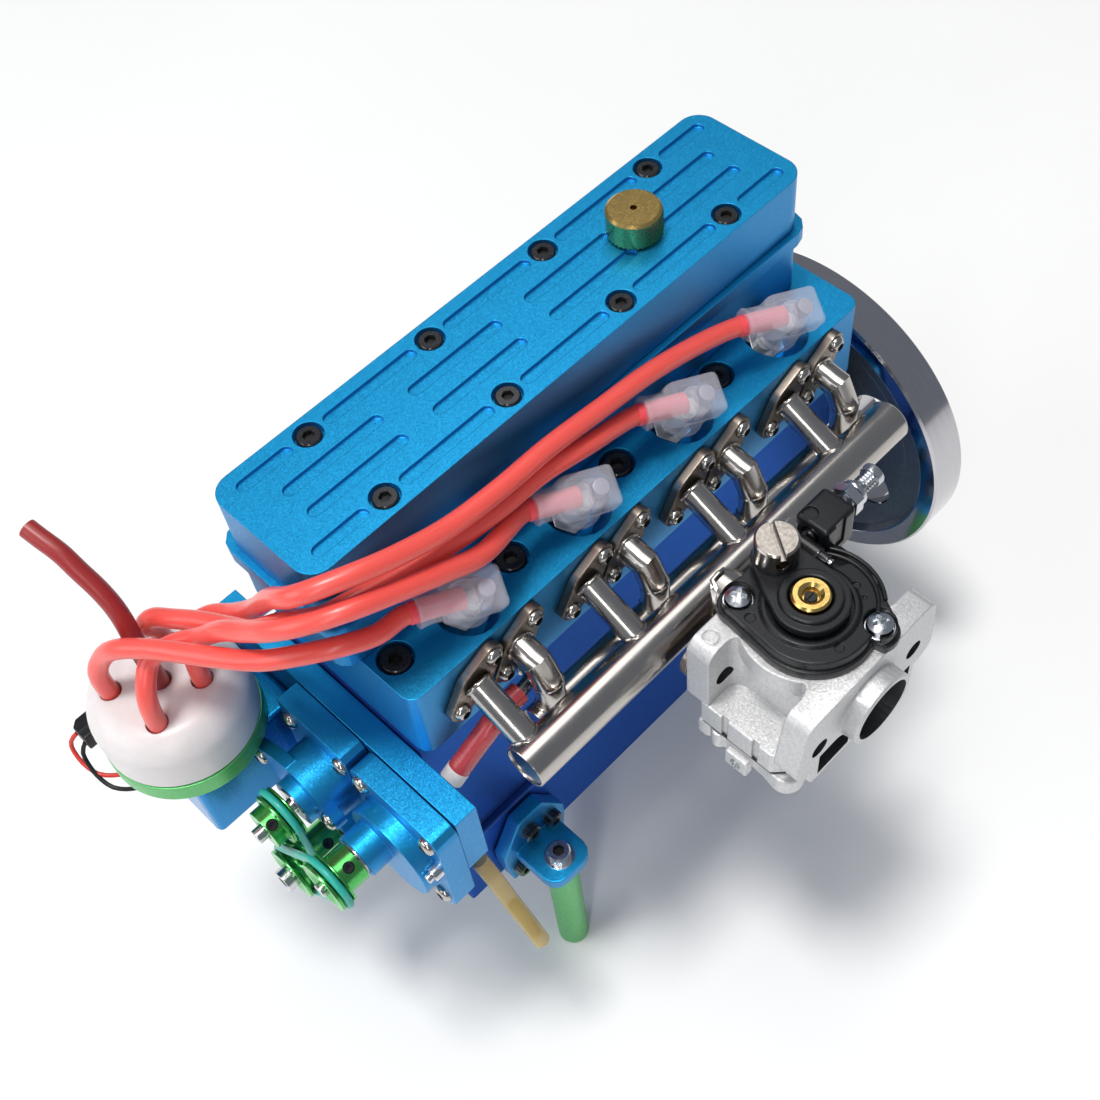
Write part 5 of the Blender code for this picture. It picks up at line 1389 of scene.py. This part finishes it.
def throttle():
    """The brass barrel with its stem and needle, and the arm with the cable's swivel."""
    hub = (CARB_X, BARREL_Y)
    low = 146.6
    barrel = rod("Z", hub, (118.5, 139.4), 7.4, 64, 0.4)
    barrel = cut(barrel, rod("X", (BARREL_Y, CARB_Z), (42, 60), 5.6, 40, 0))
    profile = [(0, 148.4), (1.9, 148.4), (1.9, 149.6), (2.7, 150.2), (3.7, 150.2), (4.15, 149.7)]
    stem = lathe([*profile, (4.15, 139), (0, 139)], "Z", hub, 56)
    barrel = together(barrel, stem)
    shown(barrel, "throttle_barrel_turned", "throttle", BRASS, ["throttle_barrel"], 35.0)
    needle = lathe([(0, 149.1), (1.2, 149.1), (1.35, 148.9), (1.35, 147), (0, 147)], "Z", hub, 32)
    needle = cut(needle, brick((hub[0] - 2, hub[0] + 2), (hub[1] - 0.2, hub[1] + 0.2), (148.7, 150)))
    # the needle's head takes the near-black painted shade of the recess it sits in
    shown(needle, "mixture_needle", "throttle", PAINTED_SHADE_BLACK)

    spot = (CARB_X + 3, BARREL_Y + 11.5)
    lever = prism(hull([(*hub, 8.2), (*spot, 5.2)]), (low, 148.7), "Z", 0.35)
    lever = cut(lever, rod("Z", hub, (140, 150), 4.5, 48, 0))
    foot = low + 1.5
    profile = [(6.6, foot), (6.6, 149.3), (6.3, 149.6), (4.9, 149.6), (4.6, 149.3), (4.6, foot)]
    collar = hoop(profile, "Z", hub, 56)
    profile = [(0, 155.3), (4.3, 155.3), (4.7, 154.9), (4.7, 149.4), (4.3, 149.0), (4.3, 147.5), (0, 147.5)]
    swivel = lathe(profile, "Z", spot, 56)
    place = Matrix.Translation((*spot, 0)) @ Matrix.Rotation(math.radians(-34), 4, "Z")
    slot = moved(brick((-0.55, 0.55), (-6, 6), (153.7, 157)), place)
    bore = moved(rod("Y", (0, 152.0), (-6, -2.5), 1.35, 28, 0), place)
    swivel = soften(cut(swivel, slot, bore), 0.12, 2, 45)
    shown(together(painted(lever, 0), painted(collar, 0), painted(swivel, 1)), "throttle_arm", "throttle",
          [BLACK, NICKEL], ["throttle_lever"], 35.0)


def cable_adjuster():
    """A hollow threaded rod with its lock nut, collar and end."""
    end, pitch, turns = 84.2, 0.8, 26
    profile = [(0, end + 0.7), (1.2, end + 0.7), (1.2, end), (1.7, end + 0.4)]
    for i in range(turns):
        x = end - i * pitch
        profile += [(1.95, x), (1.55, x - pitch / 2)]
    profile += [(1.6, 62.5), (0, 62.5)]
    thread = lathe(profile, "X", ADJUSTER, 36)
    nut = moved(prism(hexagon(3.9), (74.2, 76.8), "Z", 0.35), axis_place("X", ADJUSTER))
    collar = rod("X", ADJUSTER, (77.0, 78.2), 3.1)
    knurl = rod("X", ADJUSTER, (82.6, 84.6), 2.6, 28)
    whole = together(thread, nut, collar, knurl)
    shown(whole, "threaded_adjuster", "adjuster", ZINC, ["cable_adjuster"], 25.0)


# --- flywheel, crank, feet and insides --------------------------------------------------------------------


def flywheel():
    """A disc with a polished rim, a turned face and six holes."""
    front, back = 134.0, 145.5
    outer = [(41.5, front + 3.0), (42.2, front + 0.3), (42.8, front), (46.9, front), (47.5, front + 0.6)]
    bands = [(47.5, back - 0.6), (46.9, back), (20.0, back), (19.0, back - 0.6), (0, back - 0.6)]
    face = [(0, front), (16.4, front), (17.0, front + 0.5), (17.4, front + 3.0)]
    for i in range(1, 4):
        radius = 17.4 + 24.1 * i / 4
        face += [(radius - 0.12, front + 3.0), (radius, front + 3.06), (radius + 0.12, front + 3.0)]
    disc = lathe([*face, *outer, *bands], "X", CRANK, 160)
    for polygon in disc.faces:
        x, y, z = polygon.calc_center_median()
        on_face = 17.2 < math.hypot(y - CRANK[0], z - CRANK[1]) < 41.6 and x < front + 4
        polygon.material_index = 1 if on_face else 0
    profile = [(0, back + 1), (8.1, back + 1), (7.5, back - 0.4), (7.5, front + 3.4), (8.1, front + 2.4)]
    profile += [(0, front + 2.4)]
    centres = arc(CRANK, 28, 30, 330, 5)
    disc = cut(disc, *[lathe(profile, "X", centre) for centre in centres])
    shown(disc, "flywheel_turned", "crank", [POLISHED, FLYWHEEL_FACE], ["flywheel"], 28.0)


def inner_works():
    """The moving parts inside, which are their CAD shapes with soft edges."""
    parts = [
        ("crankshaft", "crank", STEEL, "steel"), ("camshaft", "cam", STEEL, "steel"),
        ("rocker_shaft", "engine", STEEL, "steel"), ("distributor_rotor", "rotor", BLACK, "black_plastic"),
    ]
    parts += [(f"piston_{i}", f"piston_{i}", PISTON_METAL, "cast_aluminium") for i in range(1, 5)]
    for name, body, material, slot in parts:
        shown(soften(cad(name), 0.15, 1, 50), f"{name}_finished", body, material, [name], 30.0)


def feet():
    """Four brackets, each on a turned post with a screw down through it."""
    for end, x in (("front", 1.5), ("rear", 114.0)):
        for side, wall, post_y in (("right", -30.0, -43.0), ("left", 22.0, 35.0)):
            out = -1 if side == "right" else 1
            softened(f"bracket_{end}_{side}", f"bracket_{end}_{side}_milled", 0.4, BLUE)
            low = 47.7
            profile = [(0, low), (3.6, low), (4.2, low - 0.5), (4.2, 0.6), (3.6, 0), (0, 0)]
            post = painted(lathe(profile, "Z", (x, post_y), 56), 0)
            collar = painted(rod("Z", (x, post_y), (46.9, low + 0.1), 4.35, 56, 0.1), 1)
            name, finishes = f"post_{end}_{side}", [GREEN_SATIN, STEEL]
            shown(together(post, collar), f"{name}_turned", "engine", finishes, [name])
            face = wall + out * 4.3
            spots = [(x - 1.6, face, 57.4), (x + 5.6, face, 53.8), (x - 6.2, face, 43.6)]
            screws(f"bracket_screws_{end}_{side}", cap_screw(2.5, 2.4, 1.3), spots, (0, out, 0), BLACK_SCREW)
            washer = rod("Z", (0, 0), (-0.05, 0.5), 3.9, 40, 0.1)
            head = together(moved(cap_screw(3.1, 2.9, 1.6), Matrix.Translation((0, 0, 0.45))), washer)
            head = moved(head, facing((x, post_y, 52.0), (0, 0, 1), 0.3))
            # the foot screw's socket takes the near-black painted shade
            shown(head, f"foot_screw_{end}_{side}", "engine", [ZINC, PAINTED_SHADE_BLACK])


camera()
floor()
studio()
leads()
rocker_cover()
castings()
filler_cap()
timing_case()
pulleys()
distributor()
intake()
exhaust()
hoses()
plugs_and_boots()
carburettor_casting()
carburettor_bottom()
carburettor_lid()
throttle()
cable_adjuster()
flywheel()
inner_works()
feet()
